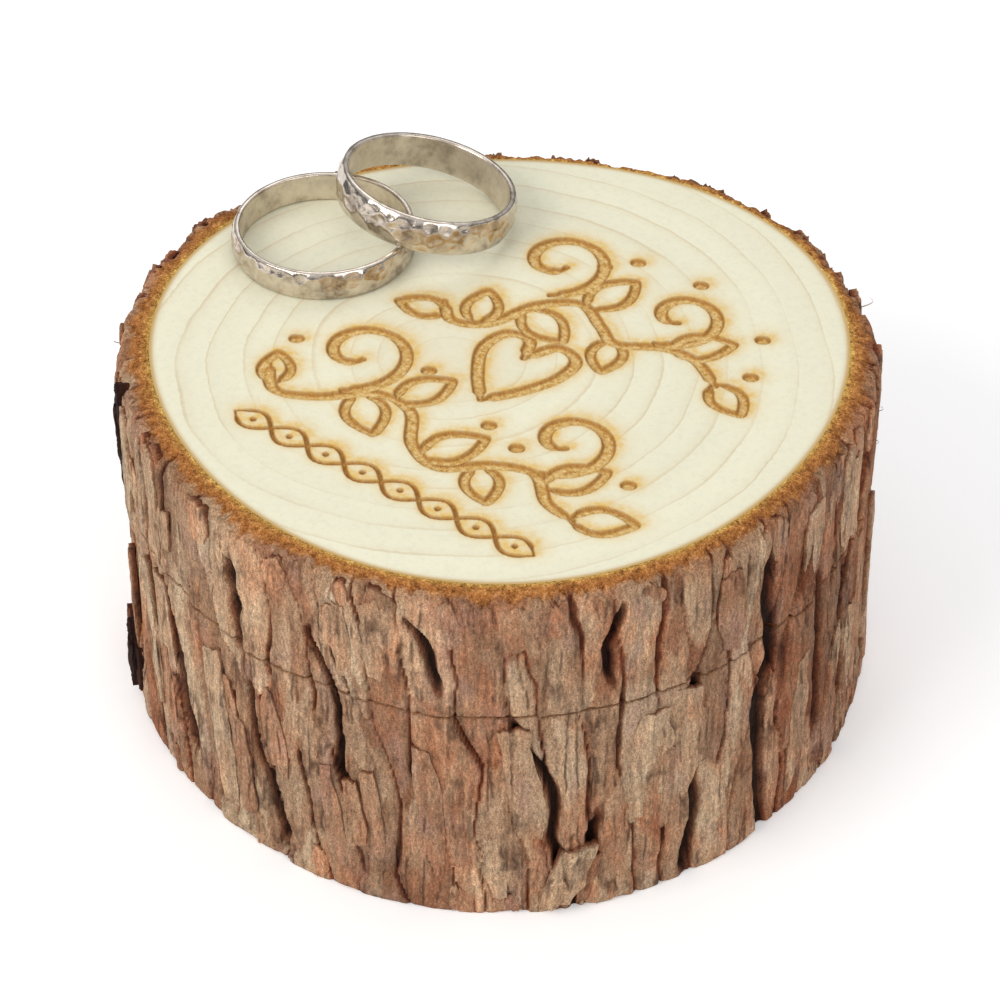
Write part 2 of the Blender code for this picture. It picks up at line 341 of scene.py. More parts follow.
def noise(u, v, seed, cells, height):
    """Smooth noise from -1 to 1, cells to the turn and height mm to a cell."""
    table = np.random.RandomState(seed).uniform(-1, 1, (NOISE_ROWS, cells))
    x = np.mod(u, 1.0) * cells
    y = v / height + 20
    i, j = np.floor(x).astype(int), np.floor(y).astype(int)
    fx, fy = x - i, y - j
    fx, fy = fx * fx * (3 - 2 * fx), fy * fy * (3 - 2 * fy)
    i0, i1 = i % cells, (i + 1) % cells
    j0, j1 = j % NOISE_ROWS, (j + 1) % NOISE_ROWS
    low = table[j0, i0] * (1 - fx) + table[j0, i1] * fx
    high = table[j1, i0] * (1 - fx) + table[j1, i1] * fx
    return low * (1 - fy) + high * fy


def plates(u, v, seed, cells, height, power):
    """Long cells round the log. Returns the nearest cell's three random numbers, how far the point is from
    the cell's edge in cells, its offset from the cell's middle, and how upright that edge is, from 0 to 1."""
    rng = np.random.RandomState(seed)
    rows = 32
    shift_x = rng.uniform(-0.42, 0.42, (rows, cells))
    shift_y = rng.uniform(-0.42, 0.42, (rows, cells))
    phase = rng.uniform(0, 1, cells)
    own = rng.uniform(0, 1, (3, rows, cells))
    x, y = np.mod(u, 1.0) * cells, v / height + 8
    column = np.floor(x).astype(int)
    best, second = np.full(x.shape, 9.0), np.full(x.shape, 9.0)
    found = np.zeros((5, *x.shape))
    other = np.zeros((5, *x.shape))
    for di in (-1, 0, 1):
        i = column + di
        wrapped = i % cells
        row = np.floor(y - phase[wrapped]).astype(int)
        for dj in (-1, 0, 1):
            j = (row + dj) % rows
            dx = x - (i + 0.5 + shift_x[j, wrapped])
            dy = y - (row + dj + 0.5 + phase[wrapped] + shift_y[j, wrapped])
            d = (np.abs(dx) ** power + np.abs(dy) ** power) ** (1 / power)
            values = np.array((*own[:, j, wrapped], dx, dy))
            nearer, next_best = d < best, (d >= best) & (d < second)
            other = np.where(nearer, found, np.where(next_best, values, other))
            second = np.where(nearer, best, np.where(next_best, d, second))
            best = np.where(nearer, d, best)
            found = np.where(nearer, values, found)
    across, along = np.abs(found[3] - other[3]), np.abs(found[4] - other[4])
    upright = across / np.maximum(across + along, 1e-6)
    return found[0], found[1], found[2], second - best, found[3], found[4], upright


# Bark

# The bark's length round the log and its radius, in mm, for turning lengths into angles
SIDE = 270.0
BARK_RADIUS = 43
FRONT = -math.pi / 2 + VIEW_TURN
# Where the bark is thinnest
THIN_SIDE = math.radians(105)


def gash(edge, width, share):
    """1 in the middle of a crack, and 0 beyond its width: steep walls, in cells."""
    return (1 - ease(edge, 0.25 * width, width + 1e-6)) * share


# Deep furrows: degrees round from the front, upper and lower end, half width at the middle, lean in mm per mm
FURROWS = (
    (-84, 40, 31, 0.75, 0.10),
    (-71, 44, 29, 0.85, 0.08),
    (-61, 29, 5, 1.35, 0.20),
    (-43, 42, 27, 1.05, 0.16),
    (-39, 26, 1, 0.45, 0.16),
    (-27, 38, 12, 0.35, 0.18),
    (-12, 43, 30, 0.45, 0.20),
    (3, 30, -2, 0.50, 0.20),
    (14, 15, -3, 0.50, -0.10),
    (17, 44, 30, 0.40, -0.06),
    (30, 31, -2, 0.60, -0.06),
    (44, 43, -3, 1.15, -0.03),
    (58, 33, 6, 0.60, -0.05),
    (66, 34, -2, 1.05, 0.00),
    (73, 44, 27, 1.30, 0.00),
    (86, 36, 4, 0.90, 0.02),
    (112, 46, 12, 0.90, -0.04),
    (131, 28, -2, 0.70, 0.05),
    (158, 46, 20, 1.00, 0.05),
    (186, 33, -2, 0.80, -0.05),
    (207, 46, 8, 1.10, 0.04),
    (238, 40, -2, 0.75, 0.06),
    (254, 30, 3, 0.90, -0.03),
)


def furrows(angle, z):
    """0 away from the deep furrows, 1 along their floors."""
    out = np.zeros(np.broadcast(angle, z).shape)
    for k, (turn, high, low, half, lean) in enumerate(FURROWS):
        path = (
            lean * (high - z) + 1.3 * noise(0 * z + 0.3, z, 90 + k, 3, 9)
            + 0.35 * noise(0 * z + 0.3, z, 130 + k, 3, 2.2)
        )
        off = np.mod(angle - FRONT - math.radians(turn) + math.pi, TAU) - math.pi
        gap = np.abs(off * BARK_RADIUS - path)
        taper = ease(z, low, low + 4) * (1 - ease(z, high - 4, high))
        width = half * (1 + 0.30 * noise(0 * z + 0.6, z, 170 + k, 3, 3.5)) * (0.55 + 0.45 * taper) + 0.12
        out = np.maximum(out, (1 - ease(gap, 0.28 * width, width + 0.28)) * taper)
    return out


def bark_relief(angle, z):
    """Thickness in mm, and what the bark's material reads, at points on the log's side."""
    u = np.mod(angle / TAU, 1.0)
    from_front = np.mod(angle - FRONT + math.pi, TAU) - math.pi
    lean = 0.045 - 0.105 * np.tanh((from_front - math.radians(12)) / 0.42) * np.cos(from_front / 2)
    drift = lean * (45 - z) / SIDE
    warp = 0.9 * noise(u, z, 1, 19, 16) + 0.50 * noise(u, z, 2, 54, 7) + 0.26 * noise(u, z, 3, 130, 3)
    warp = warp + 0.10 * noise(u, z, 19, 260, 1.6)
    uw = u - drift + warp / SIDE
    zw = z + 2.6 * noise(u, z, 4, 30, 9) + 0.9 * noise(u, z, 20, 140, 3)

    tone, lift, turn, edge, dx, dy, upright = plates(uw, zw, 11, 58, 22, 1.45)
    wide = 0.5 + 0.5 * noise(u, z, 5, 70, 8)
    open_share = 0.22 + 0.78 * ease(upright, 0.35, 0.75)
    crack = gash(edge, 0.085 + 0.11 * wide**2, (0.30 + 0.70 * wide) * open_share)
    sub_tone, sub_lift, sub_turn, sub_edge, sub_dx, _, sub_upright = plates(uw, zw, 12, 150, 10.5, 1.4)
    sub_crack = gash(sub_edge, 0.20, ease(noise(u, z, 7, 60, 6), 0.0, 0.8) * ease(sub_upright, 0.3, 0.8))
    big = furrows(angle, z)

    thin = 1.2 * np.maximum(0, np.cos(angle - THIN_SIDE)) ** 2
    flare = 0.9 * (1 - z / 45) ** 2
    swell = 0.35 * noise(u, z, 14, 26, 20)
    fibre = noise(uw, z, 15, 620, 7) * 0.5 + noise(uw, z, 16, 1100, 3.5) * 0.35
    pitted = np.maximum(0, noise(uw, z, 21, 420, 1.8)) ** 2
    plate = 0.62 * (lift - 0.5) + 0.95 * (turn - 0.5) * dx + 0.30 * (turn - 0.5) * dy
    small = 0.20 * (sub_lift - 0.5) + 0.32 * (sub_turn - 0.5) * sub_dx
    relief = plate + small + 0.08 * fibre - 0.14 * pitted - 0.80 * crack - 0.26 * sub_crack
    thick = 3.45 - thin + flare + swell + relief - (1.5 + 0.5 * relief) * big
    thick = np.maximum(thick, 0.8 + 0.1 * fibre)
    # darker in the cracks and furrows: partly the bark's darker colour there, partly painted shade in these
    # recesses
    dark = np.clip(0.85 * crack + 0.45 * sub_crack + 1.15 * big, 0, 1)
    # darker, redder plates towards the camera's right, with random patches: partly redder bark, partly painted
    # shade on the side away from the key light
    right_red_and_shade = 0.14 * np.sin(from_front) + 0.10 * noise(u, z, 22, 9, 30)
    rusty = 0.11 * np.sin(from_front) + 0.26 * ease(np.abs(from_front), 0.2, 1.2) - 0.10
    red = 0.42 + rusty + 0.42 * noise(u, z, 17, 44, 12) + 0.28 * (turn - 0.5)
    red = red + 0.20 * (sub_turn - 0.5) + 0.55 * crack
    inner_bark = (
        ease(-np.abs(from_front + math.radians(83)), -0.16, -0.07) * ease(z, 8, 12) * (1 - ease(z, 22, 26))
    )
    return {
        "thick": thick - 0.7 * inner_bark,
        "crack": dark,
        "plate": np.clip(0.58 * tone + 0.30 * sub_tone + 0.12 * (fibre + 1) / 2 - 0.6 * right_red_and_shade, 0, 1),
        "red": np.clip(red, 0, 1),
        "pale": ease(sub_tone + 0.5 * lift + 0.4 * noise(u, z, 18, 50, 8) - right_red_and_shade, 0.95, 1.6),
        "fibre": np.clip(0.5 + 0.5 * fibre, 0, 1),
        "inner": inner_bark * (0.75 + 0.25 * fibre),
    }


BARK_COLUMNS = 960
BARK_READS = ("crack", "plate", "red", "pale", "fibre")


def bark_piece(name, body, low, high, step, ragged, top_rim, replaces, rim_rows, material):
    """One slice's bark, as a closed ring: foot, side, sawn face and the wall against the wood."""
    angle = np.arange(BARK_COLUMNS) / BARK_COLUMNS * TAU
    u = angle / TAU
    rows = int((high - low) / step) + 1
    share = np.linspace(0, 1, rows)[:, None]
    a = np.broadcast_to(angle, (rows, BARK_COLUMNS))
    foot = low + ragged * (0.5 + 0.5 * noise(u, 0 * u, 31, 150, 5)) ** 2
    if top_rim:
        drop = 0.5 + 0.5 * noise(u, 0 * u, 32, 120, 5)
        drop = 0.25 + 0.80 * drop**2 + 0.45 * ease(noise(u, 0 * u + 9, 33, 300, 5), 0.1, 0.7)
    else:
        drop = 0.02 + 0.12 * (0.5 + 0.5 * noise(u, 0 * u, 32, 150, 5))
    head = high - drop
    z = foot + (head - foot) * share
    reads = bark_relief(a, z)
    calm = 1 - 0.55 * (1 - ease(z, 0.0, 1.6))
    even = 3.9 - 1.2 * np.maximum(0, np.cos(a - THIN_SIDE)) ** 2
    thick = even + (reads["thick"] - even) * calm
    worn = (0.9 * np.clip((z - high) / 3.5 + 1, 0, 1) ** 2) * top_rim
    notch = noise(u, 0 * u, 49, 110, 3) + 0.6 * noise(u, 0 * u, 50, 260, 3)
    radius = log_radius(a) + thick - worn + top_rim * 0.40 * notch * ease(z, high - 2.5, high)
    side = np.stack((radius * np.cos(a), radius * np.sin(a), z), -1)

    def annulus(edge_z, flat_z, rough, seed):
        t = np.linspace(0, 1, rim_rows + 1)[:-1][:, None]
        b = np.broadcast_to(angle, (rim_rows, BARK_COLUMNS))
        outer = radius[-1] if flat_z == high else radius[0]
        inner = log_radius(b) - 0.04
        r = inner + (outer - inner) * t
        n = noise(b / TAU, r * 3, seed, 500, 1.3) + 0.6 * noise(b / TAU, r * 3, seed + 1, 1300, 0.8)
        fall = ease(t, 0.35, 1.0)
        zz = flat_z + (edge_z - flat_z) * fall + rough * n * ease(t, 0.0, 0.12)
        return np.stack((r * np.cos(b), r * np.sin(b), zz), -1), t, n

    top, t_top, n_top = annulus(head, high, 0.10 if top_rim else 0.02, 41)
    bottom, t_bottom, n_bottom = annulus(foot, low, 0.02, 45)
    mesh = grid_mesh(name, np.concatenate((bottom, side, top[::-1]), 0))
    flat = np.zeros((rim_rows, BARK_COLUMNS))
    for read in BARK_READS:
        low_end, high_end = reads[read][:1] + flat, reads[read][-1:] + flat
        if read == "fibre":
            low_end, high_end = 0.5 + 0.25 * n_bottom, 0.5 + 0.25 * n_top
        if read == "crack":
            low_end, high_end = low_end * t_bottom**2, high_end * t_top**2
        point_values(mesh, read, np.concatenate((low_end, reads[read], high_end[::-1]), 0))
    ragged_edge = noise(u, 0 * u, 47, 260, 3) + 0.7 * noise(u, 0 * u, 48, 700, 3)
    sawn_top = (
        1 - 0.8 * ease(t_top + 0.13 * ragged_edge + 0.05 * n_top, 0.62, 0.92) if top_rim else 1 + flat
    )
    sawn_side = 0.2 * ease(z, high - 1.2 - drop, high - 0.1 - drop) * top_rim
    sawn_side = np.maximum(sawn_side, reads["inner"])
    point_values(mesh, "sawn", np.concatenate((1 + flat, sawn_side, sawn_top[::-1]), 0))
    out_side = np.where(sawn_side > 0.3, 0.35, 1.0)
    point_values(mesh, "outward", np.concatenate((t_bottom + flat, out_side, t_top[::-1] + flat), 0))
    face_out(mesh)
    return link(name, mesh, body, material, replaces)


# Flakes: loose plates, slivers and chips that lie on the bark


class Flakes:
    """Gathers thin bark pieces of one body into one mesh."""

    def __init__(self, seed, floor, ceiling):
        self.body = Body((*BARK_READS, "sawn", "outward"))
        self.rng = np.random.RandomState(seed)
        self.floor, self.ceiling = floor, ceiling

    def add(
        self, turn, low, width, height, lift=0.3, lean=0.0, sharp=0.4, thick=0.7, tone=None, pale=0.0,
        red=0.4, sawn=0.0, out=None, curl=0.0, dark=0.0, ribs=1.0,
    ):
        """turn: degrees round from the front; low: height of its foot; sharp: how pointed its ends are."""
        rng = self.rng
        rows, columns = max(10, int(height / 0.32)), max(6, int(width / 0.32))
        t = np.linspace(0, 1, rows)[:, None]
        c = np.linspace(-1, 1, columns)[None]
        seed = rng.randint(1000, 9000)
        jag = []
        for k in (0, 1):
            at = 0 * t + 0.2 + k / 2
            large = 0.10 * width * noise(at, t * height, seed + k, 4, 2.6)
            jag.append(large + 0.06 * noise(at, t * height, seed + 2 + k, 4, 0.9))
        waist = (
            1 - sharp * (1 - ease(t, 0, 0.35)) * rng.uniform(0.5, 1)
            - sharp * ease(t, 0.6, 1) * rng.uniform(0.5, 1)
        )
        left, right = -width / 2 * waist + jag[0], width / 2 * waist + jag[1]
        s = left + (right - left) * (c + 1) / 2
        ends = rng.uniform(-0.55, 0.55, 2)
        cut = ends[0] * s * (1 - ease(t, 0, 0.4)) + ends[1] * s * ease(t, 0.6, 1)
        teeth = (
            0.30 * noise(s * 0.0 + 0.5 + c / 4, t, seed + 5, 14, 1)
            * (ease(t, 0.85, 1) + 1 - ease(t, 0, 0.15))
        )
        z = low + t * height + cut + teeth
        z = z + max(0, self.floor - z.min()) - max(0, z.max() - self.ceiling)
        angle = FRONT + math.radians(turn) + (s + lean * (low + height - z)) / BARK_RADIUS
        if out is None:
            out = np.percentile(bark_relief(angle, z)["thick"], 70)
        straight = s + lean * (low + height - z) * 0.6
        across = 0.5 + straight / 60
        grain = (
            ribs * (0.10 * noise(across, z, seed + 6, 220, 5) + 0.07 * noise(across, z, seed + 7, 420, 2))
        )
        rim = np.maximum(np.abs(c), np.abs(2 * t - 1))
        tilt = rng.uniform(-0.12, 0.12) * s + curl * (t - 0.5) ** 2 * 4 + curl * 0.5 * c**2
        front = out + lift + tilt + grain - 0.10 * ease(rim, 0.8, 1.0)
        back = front - thick - 0.15 * lift
        shape = (rows, columns)
        points = []
        for depth in (front, back):
            r = log_radius(angle) + depth
            points.append(
                np.stack(np.broadcast_arrays(r * np.cos(angle), r * np.sin(angle), z), -1).reshape(-1, 3)
            )
        index = np.arange(rows * columns).reshape(shape)
        far = index + rows * columns
        faces = list(
            np.stack((index[:-1, :-1], index[:-1, 1:], index[1:, 1:], index[1:, :-1]), -1).reshape(-1, 4)
        )
        faces += list(np.stack((far[:-1, :-1], far[1:, :-1], far[1:, 1:], far[:-1, 1:]), -1).reshape(-1, 4))
        loop = np.concatenate((index[0], index[1:, -1], index[-1, -2::-1], index[-2:0:-1, 0]))
        after = np.roll(loop, -1)
        faces += list(np.stack((loop, loop + rows * columns, after + rows * columns, after), -1))
        tone = rng.uniform(0.25, 0.85) if tone is None else tone
        fibre = np.clip(0.5 + 3 * grain, 0, 1)

        def both(outside, inside):
            return np.concatenate([np.broadcast_to(value, shape).ravel() for value in (outside, inside)])

        # the crack read: on the front, the piece's own darkness plus painted shade at its edges; on the walls
        # and back, painted shade under the lifted flake
        self.body.add(
            np.concatenate(points),
            faces,
            crack=both(dark + 0.10 * ease(rim, 0.9, 1), 0.62),
            plate=both(np.clip(tone + 0.6 * grain, 0, 1), 0.3),
            red=both(0.18 + 0.5 * red, 0.8),
            pale=both(pale, 0.0),
            fibre=both(fibre, 0.4),
            sawn=both(sawn, 0.0),
            outward=both(0.4 if sawn else 1.0, 1.0),
        )

    def hair(self, turn, z, length, rise, away):
        """A fine bark fibre: a closed bent tube that starts inside the bark."""
        rng = self.rng
        angle = FRONT + math.radians(turn)
        start = (log_radius(angle) + 2.6) * np.array((math.cos(angle), math.sin(angle), 0)) + (0, 0, z)
        outward = np.array((math.cos(angle), math.sin(angle), 0))
        around = np.array((-math.sin(angle), math.cos(angle), 0)) * rng.uniform(-0.8, 0.8)
        rows, sides = 9, 5
        t = np.linspace(0, 1, rows)
        line = (
            start + np.outer(np.sin(2.2 * t) * (1.2 + 0.5 * away), outward)
            + np.outer(t * t * length, around) + np.outer(rise * length * t**1.5, (0, 0, 1))
        )
        line[:, 2] = np.maximum(line[:, 2], 0.12)
        thick = 0.065 * (1 - 0.6 * t)
        a = np.arange(sides) / sides * TAU
        side = np.cross(outward, (0, 0, 1))
        ring = np.outer(np.cos(a), side) + np.outer(np.sin(a), (0, 0, 1))
        loops = [p + r * ring for p, r in zip(line, thick)]
        self.body.strip(loops, plate=0.3, red=0.8, fibre=0.5, outward=1.0)
        last = self.body.count - sides
        for first in (self.body.count - rows * sides, last):
            self.body.faces.append(tuple(first + i for i in range(sides)))

    def finish(self, name, body, material, replaces=()):
        mesh = self.body.mesh(name)
        mesh.shade_smooth()
        mesh.set_sharp_from_angle(angle=math.radians(48))
        return link(name, mesh, body, material, replaces, smooth=False)


def in_furrow(turn, low, height, lean):
    """Whether a flake here would hide a deep furrow."""
    z = np.linspace(low, low + height, 16)
    angle = FRONT + math.radians(turn) + lean * (low + height - z) / BARK_RADIUS
    return furrows(angle, z).mean() > 0.18


def lid_flakes(material):
    made = Flakes(7, LID_FOOT + 0.1, TOP - 0.05)
    rng = np.random.RandomState(70)
    foot, head = LID_FOOT + 0.1, TOP
    # slivers that stand at the sawn rim
    for k in range(46):
        turn = k * 360 / 46 + rng.uniform(-3, 3)
        rough = 0.5 - 0.5 * math.cos(math.radians(turn))
        height = rng.uniform(2.5, 6.5)
        top = head - rng.uniform(0.45, 1.3)
        width = rng.uniform(1.2, 4.6)
        lift = rng.uniform(-0.25, 0.15) + 0.35 * rough * rng.uniform(0, 1)
        sharp = rng.uniform(0.5, 0.85)
        made.add(turn, top - height, width, height, lift, 0.05, sharp, 1.0, red=rng.uniform(0.3, 1.0))
    # plates
    for _ in range(30):
        height = rng.uniform(5, 12)
        low = rng.uniform(foot + 0.3, head - 1.2 - height)
        turn = rng.uniform(0, 360)
        width = rng.uniform(1.8, 4.4)
        lift = rng.uniform(0.1, 0.35)
        lean = rng.uniform(-0.05, 0.1)
        sharp = rng.uniform(0.2, 0.6)
        pale = rng.uniform(0, 0.6) ** 2
        red = rng.uniform(0.1, 0.9)
        if not in_furrow(turn, low, height, lean):
            made.add(turn, low, width, height, lift, lean, sharp, pale=pale, red=red)
    # long pale slats on the left, and the strips on the right
    made.add(-77, foot, 2.6, 13.6, 0.45, 0.03, 0.35, 0.9, tone=0.85, pale=0.75, red=0.1)
    made.add(-65, foot, 3.0, 14.0, 0.35, 0.02, 0.30, 0.9, tone=0.75, pale=0.45, red=0.2)
    made.add(66, foot, 3.2, 13.8, 0.40, 0.02, 0.35, 0.9, tone=0.7, pale=0.25, red=0.4)
    made.add(84, foot, 2.0, 14.4, 0.25, 0.00, 0.45, 1.0, tone=0.45, red=0.7)
    for turn, z, length, rise in (
        (-96, 42, 1.8, 0.8), (78, 39, 2.2, -0.5), (91, 35, 1.6, 0.7), (70, 44, 1.2, 0.6),
        (-88, 31, 1.5, -0.6), (104, 43, 1.8, 0.5),
    ):
        made.hair(turn, z, length, rise, 1.1)
    made.finish("lid_bark_flakes", "lid", material)


def base_flakes(material):
    made = Flakes(8, 0.08, BASE_TOP - 0.1)
    rng = np.random.RandomState(80)
    head = BASE_TOP - 0.1
    for _ in range(52):
        height = rng.uniform(6, 17)
        low = rng.uniform(0.4, head - 0.4 - height)
        turn = rng.uniform(0, 360)
        lean = 0.12 if turn > 180 or turn < 8 else -0.04
        if (abs(turn - 10) < 7 and low < 9) or in_furrow(turn, low, height, lean):
            continue
        made.add(
            turn, low, rng.uniform(2.0, 5.0), height, rng.uniform(0.08, 0.35), lean, rng.uniform(0.2, 0.6),
            pale=rng.uniform(0, 0.6) ** 2, red=rng.uniform(0.1, 0.9),
        )
    # slats on the left and strips on the right
    made.add(-68, 8, 2.4, 19, 0.45, 0.12, 0.30, 0.9, tone=0.85, pale=0.7, red=0.1)
    made.add(-48, 3, 4.0, 22, 0.30, 0.14, 0.35, 0.9, tone=0.75, pale=0.35, red=0.25)
    made.add(74, 2, 2.4, 26, 0.25, 0.00, 0.45, 1.0, tone=0.55, red=0.7)
    made.add(83, 4, 1.6, 24, 0.25, 0.01, 0.55, 1.0, tone=0.75, pale=0.3, red=0.5)
    # slivers along the foot
    for _ in range(22):
        height = rng.uniform(2, 4.5)
        made.add(
            rng.uniform(0, 360), 0.12, rng.uniform(0.8, 2.2), height, rng.uniform(-0.1, 0.25), 0.05, 0.5,
            0.8, red=rng.uniform(0.4, 1.0),
        )
    for turn, z, length, rise in (
        (-80, 8, 2.4, 0.6), (-74, 5, 2.0, -0.5), (-58, 1.5, 2.6, -0.3), (-40, 0.9, 1.8, 0.3),
        (-86, 16, 1.8, 0.7), (82, 6, 2.0, -0.5), (60, 1.2, 1.6, 0.2), (-30, 0.8, 2.2, -0.1),
        (25, 0.7, 1.4, 0.2),
    ):
        made.hair(turn, z, length, rise, 1.0)
    made.finish("base_bark_flakes", "base", material)


def turn_of(node):
    """A solid's degrees round from the front, its height over the wood less 0.1, its lowest and highest z."""
    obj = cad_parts[node]
    p = np.array([obj.matrix_world @ v.co for v in obj.data.vertices]) / MM
    angle = math.atan2(p[:, 1].mean(), p[:, 0].mean())
    out = (np.hypot(p[:, 0], p[:, 1]) - log_radius(np.arctan2(p[:, 1], p[:, 0]))).max()
    return math.degrees(angle - FRONT), out - 0.1, p[:, 2].min(), p[:, 2].max()


def slabs(material, dark_material):
    """The dark loose slabs on the left, and the pale chip at the foot."""
    for name, node, body, seed, sharp in (
        ("lid_bark_slab_split", "lid_bark_slab", "lid", 21, 0.40),
        ("base_bark_slab_split", "base_bark_slab", "base", 22, 0.85),
    ):
        turn, out, low, high = turn_of(node)
        tall = high - low
        out -= 0.7
        made = Flakes(seed, low, high)
        made.add(
            turn, low + 0.2, 3.4, tall - 0.5, 0.3, 0.0, sharp, 1.4, tone=0.10, out=out, dark=0.80, ribs=2.0
        )
        made.add(
            turn - 3.6, low + 0.12 * tall, 2.4, tall * 0.8, 0.0, 0.03, 0.5, 1.3, tone=0.3, red=0.9, out=out,
            dark=0.35,
        )
        made.add(
            turn + 2.6, low + 0.05 * tall, 1.3, tall * 0.62, -0.15, 0.0, 0.7, 1.0, tone=0.15, red=0.9,
            out=out, dark=0.70,
        )
        made.add(
            turn + 0.6, low + 0.3 * tall, 1.1, tall * 0.5, 0.55, 0.05, 0.7, 0.8, tone=0.1, out=out,
            dark=0.75, ribs=2.0,
        )
        made.finish(name, body, dark_material, (node,))
    turn, out, low, high = turn_of("base_bark_chip")
    made = Flakes(23, 0.08, high)
    out -= 0.9
    made.add(
        turn + 1.2, low + 0.9, 4.1, high - low - 1.0, 0.15, -0.30, 0.30, 1.3, tone=0.64, pale=0.45,
        red=0.25, out=out, curl=0.10, ribs=3.0,
    )
    made.add(
        turn + 3.6, low + 0.5, 2.0, (high - low) * 0.75, -0.15, -0.22, 0.5, 1.3, tone=0.35, red=0.6,
        out=out, dark=0.15, ribs=1.8,
    )
    made.add(
        turn - 1.4, low + 0.6, 2.0, (high - low) * 0.42, 0.0, -0.25, 0.6, 1.2, tone=0.6, pale=0.3, red=0.4,
        out=out, ribs=2.0,
    )
    made.finish("base_bark_chip_split", "base", material, ("base_bark_chip",))


def bark_material(name="bark", shade=0.95):
    n = Nodes(name)
    place = n.place()
    long = n.scaled(place, (1, 1, 0.12))
    short = n.scaled(place, (1, 1, 0.45))
    streak = n.noise(long, 1500, 4, 0.6)
    grain = n.noise(short, 3300, 3, 0.7)
    sand = n.noise(place, 6000, 2, 0.75)
    blotch = n.noise(place, 190, 3, 0.55)
    tone = n.plus(n.times(n.attribute("plate"), 0.62), n.times(blotch, 0.46))
    colour = n.ramp(
        tone,
        (0.22, (0.200, 0.096, 0.054)),
        (0.40, (0.285, 0.148, 0.086)),
        (0.54, (0.375, 0.214, 0.130)),
        (0.68, (0.450, 0.280, 0.178)),
        (0.90, (0.540, 0.375, 0.250)),
    )
    wander = n.math("SUBTRACT", n.noise(n.scaled(place, (1, 1, 0.45)), 430, 4, 0.65), 0.5)
    hue = n.plus(n.attribute("red"), n.times(wander, 1.7))
    tint = n.ramp(
        hue,
        (0.05, (0.93, 1.05, 1.12)),
        (0.30, (0.97, 1.02, 1.04)),
        (0.50, (1.02, 0.97, 0.95)),
        (0.72, (1.03, 0.85, 0.78)),
        (0.95, (0.95, 0.68, 0.57)),
    )
    colour = n.mix(1.0, colour, tint, "MULTIPLY")
    mauve = n.ramp(
        n.noise(n.scaled(place, (1, 1, 0.5), (0.02, 0.05, 0.01)), 260, 2), (0.54, 0.0), (0.70, 0.45)
    )
    colour = n.mix(mauve, colour, (0.330, 0.205, 0.170))
    colour = n.mix(n.times(n.attribute("pale"), 0.55), colour, (0.53, 0.41, 0.29))
    colour = n.mix(0.65, colour, n.ramp(streak, (0.30, 0.55), (0.50, 1.0), (0.72, 1.45)), "MULTIPLY")
    colour = n.mix(0.80, colour, n.ramp(grain, (0.28, 0.45), (0.5, 1.0), (0.72, 1.60)), "MULTIPLY")
    colour = n.mix(0.85, colour, n.ramp(sand, (0.28, 0.50), (0.5, 1.0), (0.72, 1.60)), "MULTIPLY")
    # thin splits along the grain, painted near black as the shade inside them, with a slight dip in the bump
    sway = n.vector("SCALE", n.noise(place, 320, 2, colour=True), scale=0.0009)
    split = n.cells(n.vector("ADD", n.scaled(place, (1, 1, 0.075)), sway), 560, "DISTANCE_TO_EDGE")
    where = n.ramp(n.noise(place, 210, 2), (0.48, 0.0), (0.62, 1.0))
    split = n.times(n.ramp(split, (0.0, 1.0), (0.05, 0.55), (0.10, 0.0)), where)
    colour = n.mix(n.times(split, 0.75), colour, (0.060, 0.026, 0.016))
    speck = n.plus(n.times(grain, 0.5), n.times(sand, 0.5))
    sawn_colour = n.ramp(
        n.plus(n.times(n.attribute("fibre"), 0.25), n.times(speck, 0.75)),
        (0.36, (0.100, 0.036, 0.010)),
        (0.45, (0.340, 0.164, 0.045)),
        (0.54, (0.590, 0.325, 0.100)),
        (0.64, (0.950, 0.670, 0.280)),
    )
    amber = n.ramp(
        n.attribute("outward"),
        (0.0, (1.25, 1.55, 1.30)),
        (0.09, (1.12, 1.16, 0.95)),
        (0.22, (0.98, 0.82, 0.70)),
        (0.50, (0.82, 0.60, 0.54)),
        (1.0, (0.62, 0.46, 0.46)),
    )
    sawn_colour = n.mix(1.0, sawn_colour, amber, "MULTIPLY")
    colour = n.mix(n.attribute("sawn"), colour, sawn_colour)
    # darkens the colour where the crack read is high: partly darker bark in the cracks, partly painted shade
    # in the cracks and under the flakes
    dark = n.ramp(
        n.attribute("crack"), (0.10, (1.0, 1.0, 1.0)), (0.40, (0.50, 0.34, 0.28)),
        (0.85, (0.135, 0.080, 0.062)), (1.0, (0.055, 0.036, 0.030)),
    )
    colour = n.mix(1.0, colour, dark, "MULTIPLY")
    colour = n.mix(1.0, colour, (shade, 0.97 * shade, 0.90 * shade), "MULTIPLY")
    height = n.plus(n.times(streak, 0.5), n.times(grain, 0.7))
    height = n.plus(height, n.times(sand, 0.4))
    height = n.math("SUBTRACT", height, n.times(split, 0.8))
    normal = n.bump(height, 0.00030, 0.9)
    return n.finish(colour, 0.92, normal, Specular_IOR_Level=0.22)


# Sawn wood


